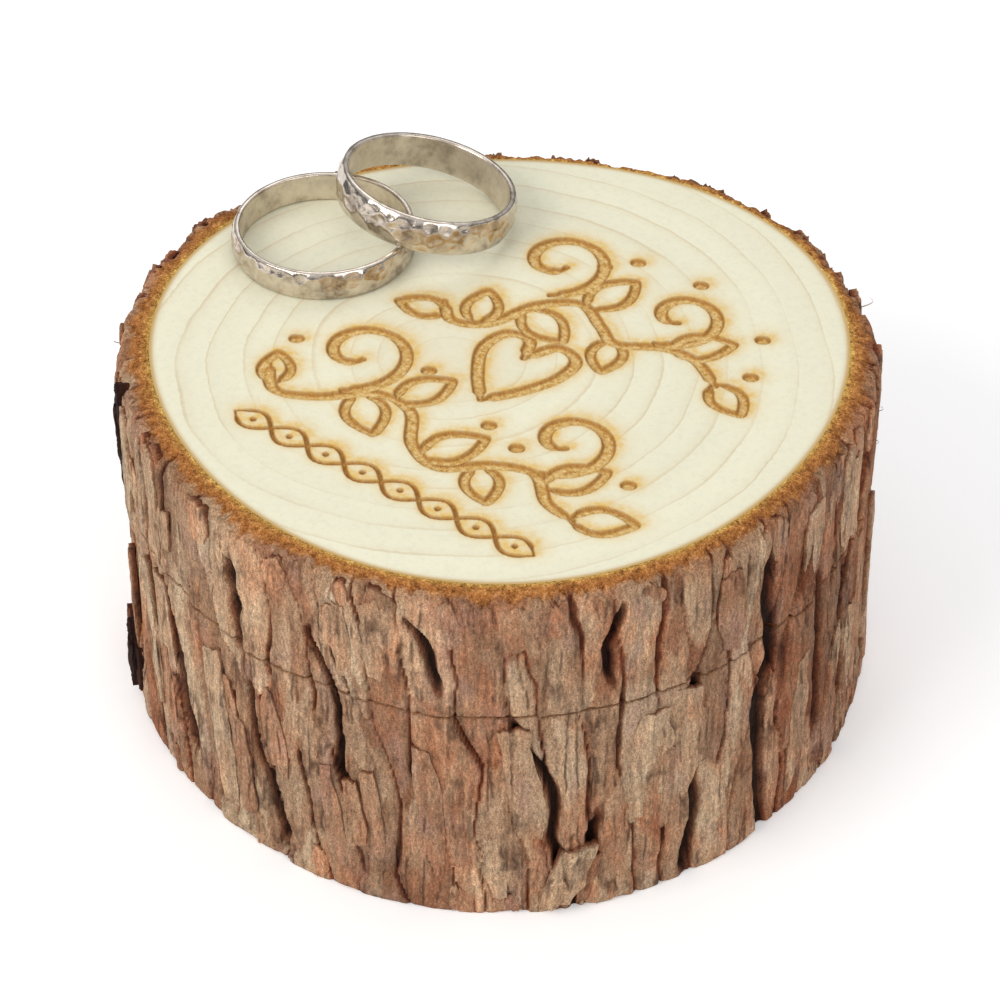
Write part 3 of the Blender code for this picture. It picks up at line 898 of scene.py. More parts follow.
def wood_material():
    """End grain with growth rings round the pith, fine pores, and a scorched recess where the burn is 1."""
    n = Nodes("sawn_wood")
    place = n.place()
    pith = (-0.0010, -0.0030, 0.0)
    from_pith = n.vector("SUBTRACT", n.vector("MULTIPLY", place, (1, 1, 0)), pith)
    warped = n.vector("ADD", from_pith, n.vector("SCALE", n.noise(place, 38, 2, colour=True), scale=0.0035))
    far = n.vector("LENGTH", warped)
    fine = n.noise(n.scaled(place, (1, 1, 0.3)), 900, 3)
    far = n.plus(far, n.times(fine, 0.00035))
    rings = n.math("FRACT", n.plus(n.times(far, 262), n.times(n.noise(n.join(far, 0.0, 0.0), 120, 1), 1.3)))
    late = n.ramp(rings, (0.0, 0.0), (0.66, 0.05), (0.90, 0.30), (0.955, 1.0), (0.985, 0.9), (1.0, 0.0))
    strength = n.ramp(n.noise(place, 60, 2), (0.35, 0.25), (0.65, 1.0))
    late = n.times(late, strength)
    colour = n.mix(n.times(late, 0.42), (0.800, 0.778, 0.600), (0.560, 0.370, 0.160))
    band = n.ramp(n.noise(n.join(far, 3.0, 0.0), 90, 2), (0.3, 0.93), (0.7, 1.04))
    colour = n.mix(0.7, colour, band, "MULTIPLY")
    pores = n.ramp(n.cells(place, 2600), (0.0, 0.78), (0.22, 1.0))
    colour = n.mix(0.35, colour, pores, "MULTIPLY")
    speck = n.ramp(n.noise(place, 1500, 2, 0.7), (0.30, 0.90), (0.5, 1.0), (0.75, 1.04))
    colour = n.mix(0.5, colour, speck, "MULTIPLY")
    heart = n.ramp(far, (0.0, 1.0), (0.006, 0.55), (0.012, 0.0), smooth=True)
    colour = n.mix(n.times(heart, 0.22), colour, (0.62, 0.46, 0.27))
    # the golden edge under the bark
    edge = n.attribute("edge")
    colour = n.mix(
        n.ramp(edge, (0.0, 0.0), (0.45, 0.25), (0.85, 0.80), (1.0, 0.95)), colour, (0.52, 0.31, 0.085)
    )
    # smoke and scorch
    halo = n.times(n.attribute("halo"), n.ramp(n.noise(place, 1100, 3, 0.7), (0.3, 0.45), (0.7, 1.25)))
    colour = n.mix(n.math("MULTIPLY", halo, 0.85, clamp=True), colour, (0.72, 0.46, 0.105))
    scorch = n.ramp(
        n.plus(n.times(n.noise(place, 2100, 3, 0.75), 0.75), n.times(n.attribute("deep"), 0.25)),
        (0.30, (0.220, 0.090, 0.016)),
        (0.46, (0.400, 0.195, 0.034)),
        (0.58, (0.590, 0.340, 0.082)),
        (0.74, (0.800, 0.595, 0.270)),
    )
    colour = n.mix(n.attribute("burn"), colour, scorch)
    rim = n.times(n.attribute("rim"), 0.8)
    colour = n.mix(rim, colour, (0.330, 0.128, 0.014))
    rough_up = n.times(n.noise(place, 2600, 3, 0.7), n.plus(n.times(n.attribute("burn"), 1.0), 0.12))
    normal = n.bump(rough_up, 0.00022, 0.7)
    return n.finish(colour, 0.58, normal, Specular_IOR_Level=0.3)


def flat_region(outer, holes, inner):
    """Triangles of a flat region inside the outer loop, outside the round holes, through the inner points."""
    points = [tuple(p) for p in outer]
    edges = [(i, (i + 1) % len(outer)) for i in range(len(outer))]
    for (cx, cy), r, count in holes:
        first = len(points)
        points += [
            (cx + r * math.cos(TAU * i / count), cy + r * math.sin(TAU * i / count)) for i in range(count)
        ]
        edges += [(first + i, first + (i + 1) % count) for i in range(count)]
    for p in inner:
        if all(math.hypot(p[0] - cx, p[1] - cy) > r + 0.3 for (cx, cy), r, _ in holes):
            points.append(tuple(p))
    verts, _, faces, *_ = delaunay_2d_cdt([Vector(p) for p in points], edges, [], 0, 1e-5)
    verts = np.array([tuple(v) for v in verts])
    faces = np.array([tuple(f) for f in faces])
    middle = verts[faces].mean(1)
    keep = np.ones(len(faces), bool)
    for (cx, cy), r, _ in holes:
        keep &= np.hypot(middle[:, 0] - cx, middle[:, 1] - cy) > r * 0.995
    return verts, faces[keep]


class Body:
    """Collects surfaces in mm and welds them into one mesh, with point attributes."""

    def __init__(self, reads):
        self.points, self.faces, self.reads = [], [], {r: [] for r in reads}
        self.count = 0

    def add(self, points, faces, **values):
        self.points.append(points)
        self.faces += [tuple(int(i) + self.count for i in f) for f in faces]
        self.count += len(points)
        for name, kept in self.reads.items():
            kept.append(np.broadcast_to(np.asarray(values.get(name, 0.0), float), (len(points),)))

    def flat(self, verts, faces, z, **values):
        z = np.broadcast_to(z, (len(verts),))
        self.add(np.column_stack((verts, z)), faces, **values)

    def strip(self, loops, **values):
        """Quads between loops of the same length."""
        points = np.concatenate(loops)
        n = len(loops[0])
        faces = []
        for k in range(len(loops) - 1):
            for i in range(n):
                j = (i + 1) % n
                faces.append((k * n + i, k * n + j, (k + 1) * n + j, (k + 1) * n + i))
        self.add(points, faces, **values)

    def turned(self, centre, profile, count, **values):
        a = np.arange(count) / count * TAU
        loops = []
        for r, z in profile:
            x, y = centre[0] + r * np.cos(a), centre[1] + r * np.sin(a)
            loops.append(np.column_stack((x, y, np.full(count, z))))
        self.strip(loops, **values)

    def mesh(self, name):
        mesh = bpy.data.meshes.new(name)
        points = np.concatenate(self.points)
        mesh.from_pydata((points * MM).tolist(), [], self.faces)
        for read, kept in self.reads.items():
            point_values(mesh, read, np.concatenate(kept))
        bm = bmesh.new()
        bm.from_mesh(mesh)
        bmesh.ops.remove_doubles(bm, verts=bm.verts, dist=2e-6)
        bmesh.ops.recalc_face_normals(bm, faces=bm.faces)
        bm.to_mesh(mesh)
        bm.free()
        return mesh


OUTLINE_COUNT = 540


def outline(z=None):
    a = np.arange(OUTLINE_COUNT) / OUTLINE_COUNT * TAU
    r = log_radius(a)
    if z is None:
        return np.column_stack((r * np.cos(a), r * np.sin(a)))
    return np.column_stack((r * np.cos(a), r * np.sin(a), np.full(OUTLINE_COUNT, z)))


RIM_INSETS = (0.25, 0.5, 0.75, 1.0, 1.35)
LATTICE_INSET = 1.9


def rim_points():
    """Rings of points that follow the outline a little way in."""
    a = (np.arange(OUTLINE_COUNT) + 0.5) / OUTLINE_COUNT * TAU
    rings = [log_radius(a) - inset for inset in RIM_INSETS]
    return np.concatenate([np.column_stack((r * np.cos(a), r * np.sin(a))) for r in rings])


def spaced(step):
    """A square lattice of points inside the outline, with rings near its edge."""
    line = np.arange(-45, 45.01, step)
    x, y = (g.ravel() for g in np.meshgrid(line, line))
    inside = np.hypot(x, y) < log_radius(np.arctan2(y, x)) - LATTICE_INSET
    return np.concatenate((np.column_stack((x[inside], y[inside])), rim_points()))


def edge_reads(points):
    """1 at the wood's edge, falling to 0 a little way in."""
    gap = log_radius(np.arctan2(points[:, 1], points[:, 0])) - np.hypot(points[:, 0], points[:, 1])
    return 1 - ease(gap, 0.0, 1.0)


# Holes in the wood: radius, depth and the number of their sides
BORE, BORE_SIDES = 2.3, 64
LID_BORE_DEPTH = 10.3
COUNTERBORE, COUNTERBORE_SIDES = 5.0, 80
COUNTERBORE_LIP, COUNTERBORE_DEPTH = 3.4, 5.2
MAGNET_HOLE, MAGNET_DEPTH, MAGNET_SIDES = 3.3, 2.9, 72
CAVITY_SIDES = 240
# A hole's floor closes at this radius
CLOSED = 0.002
SCREW = (0.0, PIVOT_Y)
MAGNET = (0.0, MAGNET_Y)
CAVITY = (0.0, 0.0)
SHARP_WOOD = math.radians(50)


def wood_piece(body, name, part, replaces, material):
    mesh = body.mesh(name)
    mesh.shade_smooth()
    mesh.set_sharp_from_angle(angle=SHARP_WOOD)
    return link(name, mesh, part, material, replaces, smooth=False)


# Engraving


def curl(cx, cy, r0, r1, a0, a1):
    """Points along a spiral, in mm, with angles in degrees."""
    t = np.linspace(0, 1, 40)
    a = np.radians(a0 + (a1 - a0) * t)
    r = r0 + (r1 - r0) * t**0.85
    return np.column_stack((cx + r * np.cos(a), cy + r * np.sin(a)))


def through(*knots):
    """A smooth curve through knots."""
    p = np.array(knots, float)
    p = np.vstack((2 * p[0] - p[1], p, 2 * p[-1] - p[-2]))
    out = []
    t = np.linspace(0, 1, 26, endpoint=False)[:, None]
    for a, b, c, d in zip(p, p[1:], p[2:], p[3:]):
        square = (2 * a - 5 * b + 4 * c - d) * t**2
        cube = (3 * b - a - 3 * c + d) * t**3
        out.append(0.5 * (2 * b + (c - a) * t + square + cube))
    return np.vstack(out + [p[-2][None]])


def leaf(x, y, length, heading):
    """A closed leaf outline that starts and ends at its stem."""
    t = np.linspace(0, 1, 24)
    up = np.column_stack((t * length, 0.34 * length * np.sin(math.pi * t) ** 0.8 * (1 - 0.25 * t)))
    down = up[::-1] * (1, -1)
    shape = np.vstack((up, down))
    a = math.radians(heading)
    turn = np.array(((math.cos(a), math.sin(a)), (-math.sin(a), math.cos(a))))
    return shape @ turn + (x, y)


def ornament():
    """The engraving's strokes: (points, half width, how much the pen's slant thickens it)."""
    pen, fine, bead = (0.64, 0.22), (0.54, 0.18), (0.80, 0.0)
    strokes = []

    def add(line, nib=pen):
        strokes.append((line, *nib))

    def leaves(*rows):
        for row in rows:
            add(leaf(*row), fine)

    def beads(*places):
        for x, y in places:
            add(np.array(((x, y), (x + 0.3, y + 0.2))), bead)

    # upper spray
    add(
        through(
            (-10.8, 2.6), (-7.6, 0.4), (-4.0, 2.8), (-2.2, 9.0), (1.5, 12.6), (6.0, 10.8), (9.5, 9.4),
            (14.0, 12.4), (18.2, 13.0), (23.0, 10.8),
        )
    )
    add(curl(-6.0, 17.4, 6.9, 1.5, -58, 345))
    add(curl(11.6, 18.4, 6.0, 1.3, -80, 300))
    leaves(
        (-2.8, 7.6, 7.6, -14), (14.8, 12.6, 7.4, 50), (2.6, 12.6, 7.6, 84), (-5.2, 1.8, 6.4, 118),
        (-9.0, 1.2, 6.0, 200), (22.6, 10.9, 6.2, -22), (8.6, 9.8, 6.2, -62),
    )
    beads((24.8, 14.6), (-1.4, 20.0), (1.0, 23.2), (21.4, 21.0), (9.4, 24.6))
    # heart
    add(through((3.4, 0.4), (1.6, 3.4), (-1.2, 2.6), (-1.4, -1.2), (1.4, -5.2), (4.9, -8.6)))
    add(through((3.4, 0.4), (5.0, 4.4), (8.2, 3.9), (8.8, 0.2), (7.4, -4.2), (4.9, -8.6)))
    # lower spray
    add(
        through(
            (-17.8, -19.4), (-13.6, -22.6), (-9.0, -20.2), (-4.8, -15.6), (0.4, -15.4), (4.6, -19.6),
            (9.4, -20.8), (13.6, -16.6), (18.2, -14.6), (22.4, -17.4), (26.6, -17.9),
        )
    )
    add(curl(-11.4, -11.2, 7.3, 1.5, -62, 330))
    add(curl(17.0, -7.8, 6.4, 1.4, -76, 306))
    leaves(
        (-6.2, -16.8, 7.6, -34), (-2.0, -15.0, 7.2, 72), (6.8, -20.6, 7.8, 66), (20.4, -15.6, 7.4, 62),
        (-14.6, -21.8, 5.6, 128), (12.6, -17.6, 6.4, -40), (26.2, -17.9, 7.0, 34),
    )
    beads((-18.6, -14.2), (-3.2, -8.6), (8.6, -11.6), (27.0, -9.4), (13.6, -12.6))
    # small border: two waves that cross, with a bead in each eye
    left, foot, slope, eye = -14.2, -28.3, 0.078, 5.19
    x = np.linspace(0, 41.5, 260)
    for side in (-1, 1):
        y = side * 1.55 * np.sin(math.pi * x / eye)
        add(np.column_stack((left + x, foot + slope * x + y)), (0.27, 0.07))
    for k in range(8):
        middle = left + eye * (k + 0.5)
        height = foot + slope * (middle - left)
        add(np.array(((middle, height), (middle + 0.05, height))), (0.40, 0.0))
    return strokes


def stroke_field(points):
    """At each point: how far outside the strokes it is (negative inside), in mm."""
    samples, widths = [], []
    for line, half, slant in ornament():
        line = np.asarray(line, float)
        step = np.hypot(*np.diff(line, axis=0).T)
        total = np.concatenate(((0,), np.cumsum(step)))
        count = max(2, int(total[-1] / 0.16) + 1)
        s = np.linspace(0, total[-1], count)
        x, y = np.interp(s, total, line[:, 0]), np.interp(s, total, line[:, 1])
        heading = np.arctan2(np.gradient(y), np.gradient(x))
        taper = np.clip(np.minimum(s, total[-1] - s) / 1.6, 0.55, 1) if total[-1] > 8 else 1.0
        samples.append(np.column_stack((x, y)))
        widths.append((half + slant * np.abs(np.sin(heading - math.radians(12)))) * taper)
    samples, widths = np.concatenate(samples), np.concatenate(widths)
    out = np.full(len(points), 99.0)
    for first in range(0, len(points), 4000):
        part = points[first : first + 4000]
        across = part[:, None, 0] - samples[None, :, 0]
        along = part[:, None, 1] - samples[None, :, 1]
        out[first : first + 4000] = (np.hypot(across, along) - widths[None]).min(1)
    return out


ENGRAVED_DEPTH = 0.42
FINE_STEP = 0.17


def engraved_points():
    """A lattice that is finest at the strokes: each level keeps every second point of the one below."""
    n = 512
    line = (np.arange(n) - n // 2) * FINE_STEP
    x, y = np.meshgrid(line, line, indexing="ij")
    i, j = np.meshgrid(np.arange(n), np.arange(n), indexing="ij")
    inside = np.hypot(x, y) < log_radius(np.arctan2(y, x)) - LATTICE_INSET
    coarse = (i % 8 == 0) & (j % 8 == 0) & inside
    field = np.full(x.shape, 99.0)
    flat = coarse | ((i % 4 == 0) & (j % 4 == 0) & inside)
    field[flat] = stroke_field(np.column_stack((x[flat], y[flat])))
    # points within reach of a stroke, judged from the level above
    for level, reach in ((2, 2.4), (1, 0.75)):
        block = level * 2
        known = field[::block, ::block]
        spread = np.repeat(np.repeat(known, block, 0), block, 1)[:n, :n]
        want = (
            (i % level == 0) & (j % level == 0) & inside & (spread < reach + 1.2 * block * FINE_STEP)
            & (field > 90)
        )
        values = stroke_field(np.column_stack((x[want], y[want])))
        field[want] = values
    keep = coarse
    keep |= (i % 4 == 0) & (j % 4 == 0) & (field < 4.0)
    keep |= (i % 2 == 0) & (j % 2 == 0) & (field < 1.6)
    keep |= (field < 0.42) & (field > -9)
    keep &= inside
    return np.concatenate((np.column_stack((x[keep], y[keep])), rim_points()))


def lid_wood(material):
    body = Body(("burn", "halo", "rim", "deep", "edge"))
    verts, faces = flat_region(outline(), (), engraved_points())
    field = stroke_field(verts)
    inside = 1 - ease(field, -0.26, 0.02)
    rng = np.random.RandomState(5)
    grit = rng.uniform(-1, 1, len(verts)) * 0.035
    z = TOP - ENGRAVED_DEPTH * inside + grit * inside
    smoked = stroke_field(verts - (0.1, 0.75))
    halo = 0.75 * np.exp(-np.maximum(smoked, 0) / 0.75) + 0.45 * np.exp(-np.maximum(field, 0) / 0.35)
    rim = np.exp(-(((field + 0.20) / 0.16) ** 2))
    body.flat(
        verts, faces, z, burn=1 - ease(field, -0.16, 0.05), halo=np.clip(halo, 0, 1), rim=rim, deep=inside,
        edge=edge_reads(verts),
    )
    body.strip([outline(LID_FOOT), outline(TOP)], edge=1.0)
    holes = ((SCREW, BORE, BORE_SIDES), (MAGNET, MAGNET_HOLE, MAGNET_SIDES))
    verts, faces = flat_region(outline(), holes, spaced(2.0))
    body.flat(verts, faces, LID_FOOT, edge=edge_reads(verts))
    head = LID_FOOT + LID_BORE_DEPTH
    body.turned(SCREW, ((BORE, LID_FOOT), (BORE, head), (CLOSED, head)), BORE_SIDES)
    head = LID_FOOT + MAGNET_DEPTH
    body.turned(MAGNET, ((MAGNET_HOLE, LID_FOOT), (MAGNET_HOLE, head), (CLOSED, head)), MAGNET_SIDES)
    wood_piece(body, "lid_wood_engraved", "lid", ("lid_wood",), material)


def base_wood(material):
    body = Body(("burn", "halo", "rim", "deep", "edge"))
    holes = (
        (CAVITY, CAVITY_RADIUS + 0.6, CAVITY_SIDES),
        (SCREW, BORE, BORE_SIDES),
        (MAGNET, MAGNET_HOLE, MAGNET_SIDES),
    )
    verts, faces = flat_region(outline(), holes, spaced(2.0))
    body.flat(verts, faces, BASE_TOP, edge=edge_reads(verts))
    wall_top = BASE_TOP - 0.6
    profile = [
        (CAVITY_RADIUS + 0.6, BASE_TOP), (CAVITY_RADIUS + 0.22, BASE_TOP - 0.12), (CAVITY_RADIUS, wall_top)
    ]
    for k in range(1, 12):
        profile.append(
            (CAVITY_RADIUS + 0.03 * math.sin(2.1 * k), wall_top - (wall_top - CAVITY_FLOOR) * k / 12)
        )
    profile += [(r, CAVITY_FLOOR) for r in (CAVITY_RADIUS, 20.0, 10.0, CLOSED)]
    body.turned(CAVITY, profile, CAVITY_SIDES)
    body.strip([outline(0.0), outline(BASE_TOP)], edge=1.0)
    verts, faces = flat_region(outline(), ((SCREW, COUNTERBORE, COUNTERBORE_SIDES),), spaced(2.0))
    body.flat(verts, faces, 0.0, edge=edge_reads(verts))
    deep = COUNTERBORE_DEPTH
    body.turned(
        SCREW, ((COUNTERBORE, 0.0), (COUNTERBORE, deep), (COUNTERBORE_LIP, deep)), COUNTERBORE_SIDES
    )
    foot = BASE_TOP - MAGNET_DEPTH
    body.turned(MAGNET, ((MAGNET_HOLE, BASE_TOP), (MAGNET_HOLE, foot), (CLOSED, foot)), MAGNET_SIDES)
    # the ring between the counterbore and the bore
    lip = circle(SCREW, COUNTERBORE_LIP, COUNTERBORE_SIDES)
    verts, faces = flat_region(lip, ((SCREW, BORE, BORE_SIDES),), ())
    body.flat(verts, faces, deep)
    body.turned(SCREW, ((BORE, deep), (BORE, BASE_TOP)), BORE_SIDES)
    wood_piece(body, "base_wood_bored", "base", ("base_wood",), material)


def circle(centre, r, count):
    a = np.arange(count) / count * TAU
    return np.column_stack((centre[0] + r * np.cos(a), centre[1] + r * np.sin(a)))


# Bands


def band_material():
    n = Nodes("hammered_silver")
    place = n.place()
    tarnish = n.ramp(
        n.noise(place, 420, 5, 0.65), (0.34, (0.44, 0.40, 0.38)), (0.48, (0.84, 0.82, 0.80)),
        (0.62, (1.06, 1.06, 1.06)),
    )
    colour = n.mix(1.0, (0.70, 0.625, 0.545), tarnish, "MULTIPLY")
    inner = n.attribute("inside")
    colour = n.mix(n.times(inner, 0.30), colour, (0.84, 0.76, 0.62))
    rough = n.ramp(
        n.plus(n.times(n.noise(place, 900, 3), 0.5), n.times(inner, 0.35)), (0.15, 0.13), (0.7, 0.42)
    )
    scratch = n.noise(n.scaled(place, (1, 1, 9)), 1300, 3, 0.6)
    normal = n.bump(n.plus(scratch, n.noise(place, 4200, 2)), 0.00002, 0.5)
    return n.finish(colour, rough, normal, 1.0)


def band(name, node, body, outer, wall, height, seed, material, centre, turn):
    """A band with a hammered outside, eased bright edges and a smooth inside."""
    around = 420
    half = height / 2
    inner = outer - wall
    profile = [(inner, t, 1.0, 0.0) for t in np.linspace(half - 0.28, -half + 0.28, 9)]
    ease_in = [
        (inner + 0.26 * (1 - math.cos(k)), -half + 0.28 - 0.28 * math.sin(k), 0.5, 0.0)
        for k in np.linspace(0.3, 1.57, 4)
    ]
    edge = [(outer - 0.58, -half, 0.0, 0.0)]
    face = []
    for t in np.linspace(-1, 1, 17):
        crown = 0.46 * abs(t) ** 3
        face.append((outer - crown, t * (half - 0.10), 0.0, 1 - abs(t) ** 6))
    edge_top = [(outer - 0.58, half, 0.0, 0.0)]
    ease_out = [(r, -z, s, h) for r, z, s, h in reversed(ease_in)]
    profile = np.array(profile + ease_in + edge + face + edge_top + ease_out)
    rows = len(profile)
    a = np.arange(around) / around * TAU
    rng = np.random.RandomState(seed)
    length = TAU * outer
    count = int(length * height / 1.0)
    hits_s, hits_z = rng.uniform(0, length, count), rng.uniform(-half, half, count)
    size = rng.uniform(0.60, 1.25, count)
    s = a[None] * outer
    z = profile[:, 1][:, None]
    dent = np.zeros((rows, around))
    for hs, hz, r in zip(hits_s, hits_z, size):
        ds = np.mod(s - hs + length / 2, length) - length / 2
        q = (ds**2 + (1.15 * (z - hz)) ** 2) / r**2
        dent = np.maximum(dent, np.where(q < 1, (1 - q) * 0.19 * r, 0))
    r = (
        profile[:, 0][:, None] - dent * profile[:, 3][:, None]
        + 0.012 * noise(a[None] / TAU, z, seed + 1, 70, 0.6)
    )
    points = np.stack((r * np.cos(a), r * np.sin(a), np.broadcast_to(z, r.shape)), -1)
    mesh = grid_mesh(name, points)
    point_values(mesh, "inside", np.broadcast_to(profile[:, 2][:, None], r.shape))
    mesh.transform(Matrix.Translation(centre) @ turn)
    face_out(mesh)
    return link(name, mesh, body, material, (node,))


NARROW_HEIGHT = 3.7
WIDE_HEIGHT = 4.3


def bands(material):
    low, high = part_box("ring_narrow")
    narrow_at = (low + high) / 2
    outer = (high.x - low.x) / 2 / MM
    band(
        "band_narrow_hammered", "ring_narrow", "band_narrow", outer, 1.1, NARROW_HEIGHT, 71, material,
        narrow_at, Matrix.Identity(4),
    )
    low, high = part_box("ring_wide")
    wide_at = (low + high) / 2
    apart = (wide_at - narrow_at).xy / MM
    wide = 10.9
    inner = wide - 1.2
    crossing = (apart.length_squared + inner**2 - outer**2) / (2 * apart.length)
    tilt = math.atan2(NARROW_HEIGHT + 0.2, wide + crossing)
    level = Vector((-apart.y, apart.x, 0)).normalized()
    band(
        "band_wide_hammered", "ring_wide", "band_wide", wide, 1.2, WIDE_HEIGHT, 83, material, wide_at,
        Matrix.Rotation(tilt, 4, level),
    )


# Liner, cushions and fittings


def felt_material():
    n = Nodes("wool_felt")
    place = n.place()
    fuzz = n.noise(place, 900, 5, 0.75, distortion=1.5)
    colour = n.ramp(fuzz, (0.3, (0.36, 0.29, 0.21)), (0.5, (0.50, 0.42, 0.31)), (0.72, (0.64, 0.56, 0.44)))
    return n.finish(colour, 0.97, n.bump(fuzz, 0.0003, 0.9), Sheen_Weight=0.25)


def linen_material():
    n = Nodes("linen")
    place = n.place()
    x, y, z = n.split(
        n.vector("ADD", place, n.vector("SCALE", n.noise(place, 90, 2, colour=True), scale=0.0006))
    )
    pitch = TAU / 0.00062
    warp = n.math("SINE", n.times(n.plus(x, n.times(z, 0.3)), pitch))
    weft = n.math("SINE", n.times(n.plus(y, n.times(z, 0.9)), pitch))
    weave = n.plus(n.times(n.times(warp, weft), 0.35), n.times(n.math("MAXIMUM", warp, weft), 0.5))
    slub = n.noise(n.scaled(place, (1, 14, 1)), 160, 3)
    slub2 = n.noise(n.scaled(place, (14, 1, 1)), 160, 3)
    tone = n.plus(n.times(weave, 0.28), n.times(n.plus(slub, slub2), 0.42))
    colour = n.ramp(
        tone, (0.12, (0.30, 0.22, 0.13)), (0.45, (0.56, 0.45, 0.30)), (0.80, (0.78, 0.68, 0.50))
    )
    return n.finish(colour, 0.95, n.bump(weave, 0.00016, 0.8), Sheen_Weight=0.2)


def metal_material(name, colour, rough):
    n = Nodes(name)
    place = n.place()
    wear = n.noise(place, 700, 4, 0.6)
    tint = n.mix(1.0, colour, n.ramp(wear, (0.3, 0.82), (0.65, 1.05)), "MULTIPLY")
    roughness = n.ramp(wear, (0.3, rough + 0.15), (0.7, rough))
    return n.finish(tint, roughness, n.bump(n.noise(place, 3000, 2), 0.00003, 0.5), 1.0)


def liner(material):
    low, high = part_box("felt_liner")
    radius = (high.x - low.x) / 2 / MM
    foot, head = low.z / MM, high.z / MM
    count = 200
    a = np.arange(count) / count * TAU
    ragged = 1 + 0.004 * noise(a / TAU, 0 * a, 61, 60, 5)
    body = Body(())
    loops = []
    shares = [0.001, 0.2, 0.4, 0.6, 0.8, 0.93, 0.985, 1.0]
    for share, z in [(s, foot) for s in shares] + [
        (s, head - (0.12 if s == 1.0 else 0.0)) for s in reversed(shares)
    ]:
        r = radius * share * (ragged if share > 0.9 else 1)
        soft = 0.05 * noise(a / TAU, a * 0 + share * 50, 62, 40, 3) if z > foot + 0.1 else 0.0
        loops.append(np.column_stack((r * np.cos(a), r * np.sin(a), z + soft + 0 * a)))
    body.strip(loops)
    mesh = body.mesh("felt_liner_disc")
    obj = link("felt_liner_disc", mesh, "base", material, ("felt_liner",))


# At ten times the size a millimetre is 0.01 m
BIG_MM = 0.01
MM_FROM_BIG = 100.0


def cushion(name, node, side, material):
    """A half-round foam pad wrapped in linen, blown up a little by cloth simulation at ten times its size."""
    low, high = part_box(node)
    foot, head = low.z / MM, high.z / MM
    radius = max(abs(low.x), abs(high.x)) / MM
    flat = 0.4
    layers = [
        (0.0, 1.2), (0.06, 0.5), (0.14, 0.25), (0.5, 0.15), (0.72, 0.35), (0.86, 0.9), (0.95, 2.0),
        (1.0, 4.0),
    ]
    count = 72
    loops = []
    for share, inset in layers:
        r = radius - inset
        f = flat + inset * 0.8
        reach = math.asin(f / r)
        arc = np.linspace(reach, math.pi - reach, count)
        curve = np.column_stack((r * np.cos(arc), r * np.sin(arc)))
        straight = np.column_stack((np.linspace(curve[-1, 0], curve[0, 0], 40)[1:-1], np.full(38, f)))
        ring = np.vstack((curve, straight)) * (1, side)
        loops.append(np.column_stack((ring, np.full(len(ring), foot + (head - foot) * share))))
    bm = bmesh.new()
    rows = [[bm.verts.new(p * BIG_MM) for p in loop] for loop in loops]
    n = len(rows[0])
    for a, b in zip(rows, rows[1:]):
        for i in range(n):
            j = (i + 1) % n
            bm.faces.new((a[i], a[j], b[j], b[i]))
    bm.faces.new(rows[0])
    bm.faces.new(rows[-1])
    bmesh.ops.recalc_face_normals(bm, faces=bm.faces)
    mesh = bpy.data.meshes.new(name)
    bm.to_mesh(mesh)
    bm.free()
    obj = bpy.data.objects.new(name, mesh)
    bpy.context.scene.collection.objects.link(obj)
    remesh = obj.modifiers.new("even", "REMESH")
    remesh.mode = "VOXEL"
    remesh.voxel_size = 0.0085
    apply_modifiers(obj)
    blow_up(obj, 22)
    points = np.array([v.co for v in obj.data.vertices]) * MM_FROM_BIG
    # a stitched crease near the rim, and slight waves in the top
    gap = radius - np.hypot(points[:, 0], points[:, 1])
    top = ease(points[:, 2], foot + (head - foot) * 0.6, head)
    crease = np.exp(-(((gap - 3.2) / 0.55) ** 2)) * top * (np.abs(points[:, 1]) > 2.0)
    points[:, 2] -= 0.35 * crease
    u = np.arctan2(points[:, 1], points[:, 0]) / TAU
    points[:, 2] += 0.12 * noise(u, gap, 64 + (side > 0), 30, 4) * top
    points[:, 2] = np.clip(points[:, 2], foot + 0.02, head + 1.2)
    away = np.hypot(points[:, 0], points[:, 1])
    shrink = np.minimum(1, (CAVITY_RADIUS - 0.15) / away)
    points[:, :2] *= shrink[:, None]
    points[:, 1] = side * np.maximum(side * points[:, 1], 0.12)
    for v, p in zip(obj.data.vertices, points):
        v.co = p * MM
    sub = obj.modifiers.new("fine", "SUBSURF")
    sub.levels = 1
    sub.render_levels = 1
    apply_modifiers(obj)
    obj.data.shade_smooth()
    obj.data.materials.append(material)
    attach(obj, "base")
    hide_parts(node)


def apply_modifiers(obj):
    bpy.context.view_layer.update()
    done = bpy.data.meshes.new_from_object(obj.evaluated_get(bpy.context.evaluated_depsgraph_get()))
    obj.modifiers.clear()
    obj.data = done


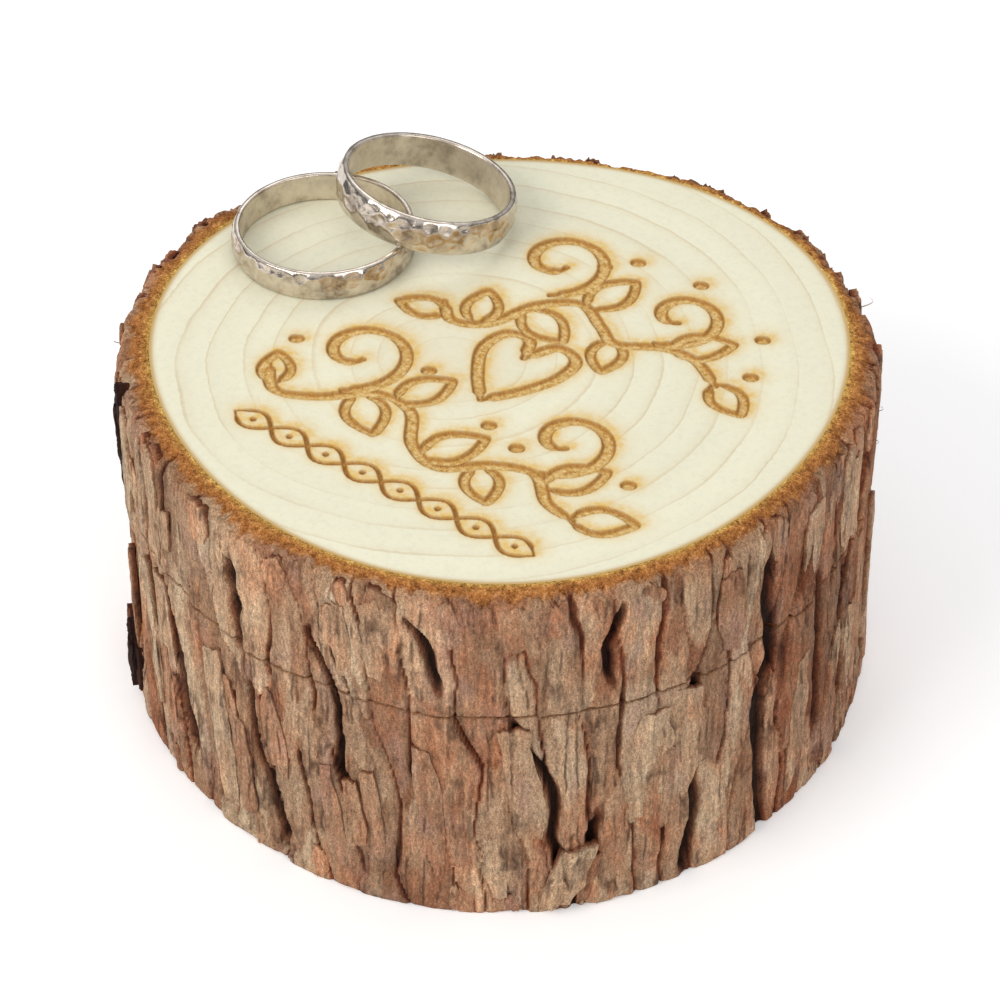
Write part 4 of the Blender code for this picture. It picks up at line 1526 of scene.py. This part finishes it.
def blow_up(obj, frames):
    """Cloth simulation with air pressure inside and no gravity. How far a point may move is capped."""
    start = np.array([v.co for v in obj.data.vertices])
    cloth = obj.modifiers.new("cloth", "CLOTH")
    settings = cloth.settings
    settings.quality = 6
    settings.mass = 0.15
    settings.tension_stiffness = 18
    settings.compression_stiffness = 18
    settings.shear_stiffness = 8
    settings.bending_stiffness = 0.6
    settings.use_pressure = True
    settings.uniform_pressure_force = 3.0
    settings.effector_weights.gravity = 0
    cloth.point_cache.frame_start = 1
    cloth.point_cache.frame_end = frames
    scene = bpy.context.scene
    for f in range(1, frames + 1):
        scene.frame_set(f)
    moved = bpy.data.meshes.new_from_object(obj.evaluated_get(bpy.context.evaluated_depsgraph_get()))
    end = np.array([v.co for v in moved.vertices])
    obj.modifiers.clear()
    scene.frame_set(1)
    step = end - start
    length = np.linalg.norm(step, axis=1, keepdims=True)
    cap = 0.014
    step *= np.minimum(1, cap / np.maximum(length, 1e-9))
    for v, p in zip(obj.data.vertices, start + step):
        v.co = p


def fittings():
    nickel = metal_material("nickel", (0.72, 0.71, 0.69), 0.12)
    steel = metal_material("zinc_plate", (0.58, 0.58, 0.60), 0.28)
    for node, material in (
        ("base_magnet", nickel), ("lid_magnet", nickel), ("pivot_washer", steel), ("pivot_screw", steel)
    ):
        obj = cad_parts[node]
        obj.data.materials.clear()
        obj.data.materials.append(material)


def main():
    camera()
    studio()
    bark = bark_material()
    wood = wood_material()
    bark_piece("lid_bark_plates", "lid", LID_FOOT, TOP, 0.28, 0.12, 1, ("lid_bark",), 14, bark)
    bark_piece("base_bark_plates", "base", 0.0, BASE_TOP, 0.32, 0.35, 0, ("base_bark",), 6, bark)
    lid_flakes(bark)
    base_flakes(bark)
    slabs(bark, bark_material("bark_dark", 0.62))
    lid_wood(wood)
    base_wood(wood)
    bands(band_material())
    liner(felt_material())
    linen = linen_material()
    cushion("cushion_front_linen", "cushion_front", -1, linen)
    cushion("cushion_back_linen", "cushion_back", 1, linen)
    fittings()


main()
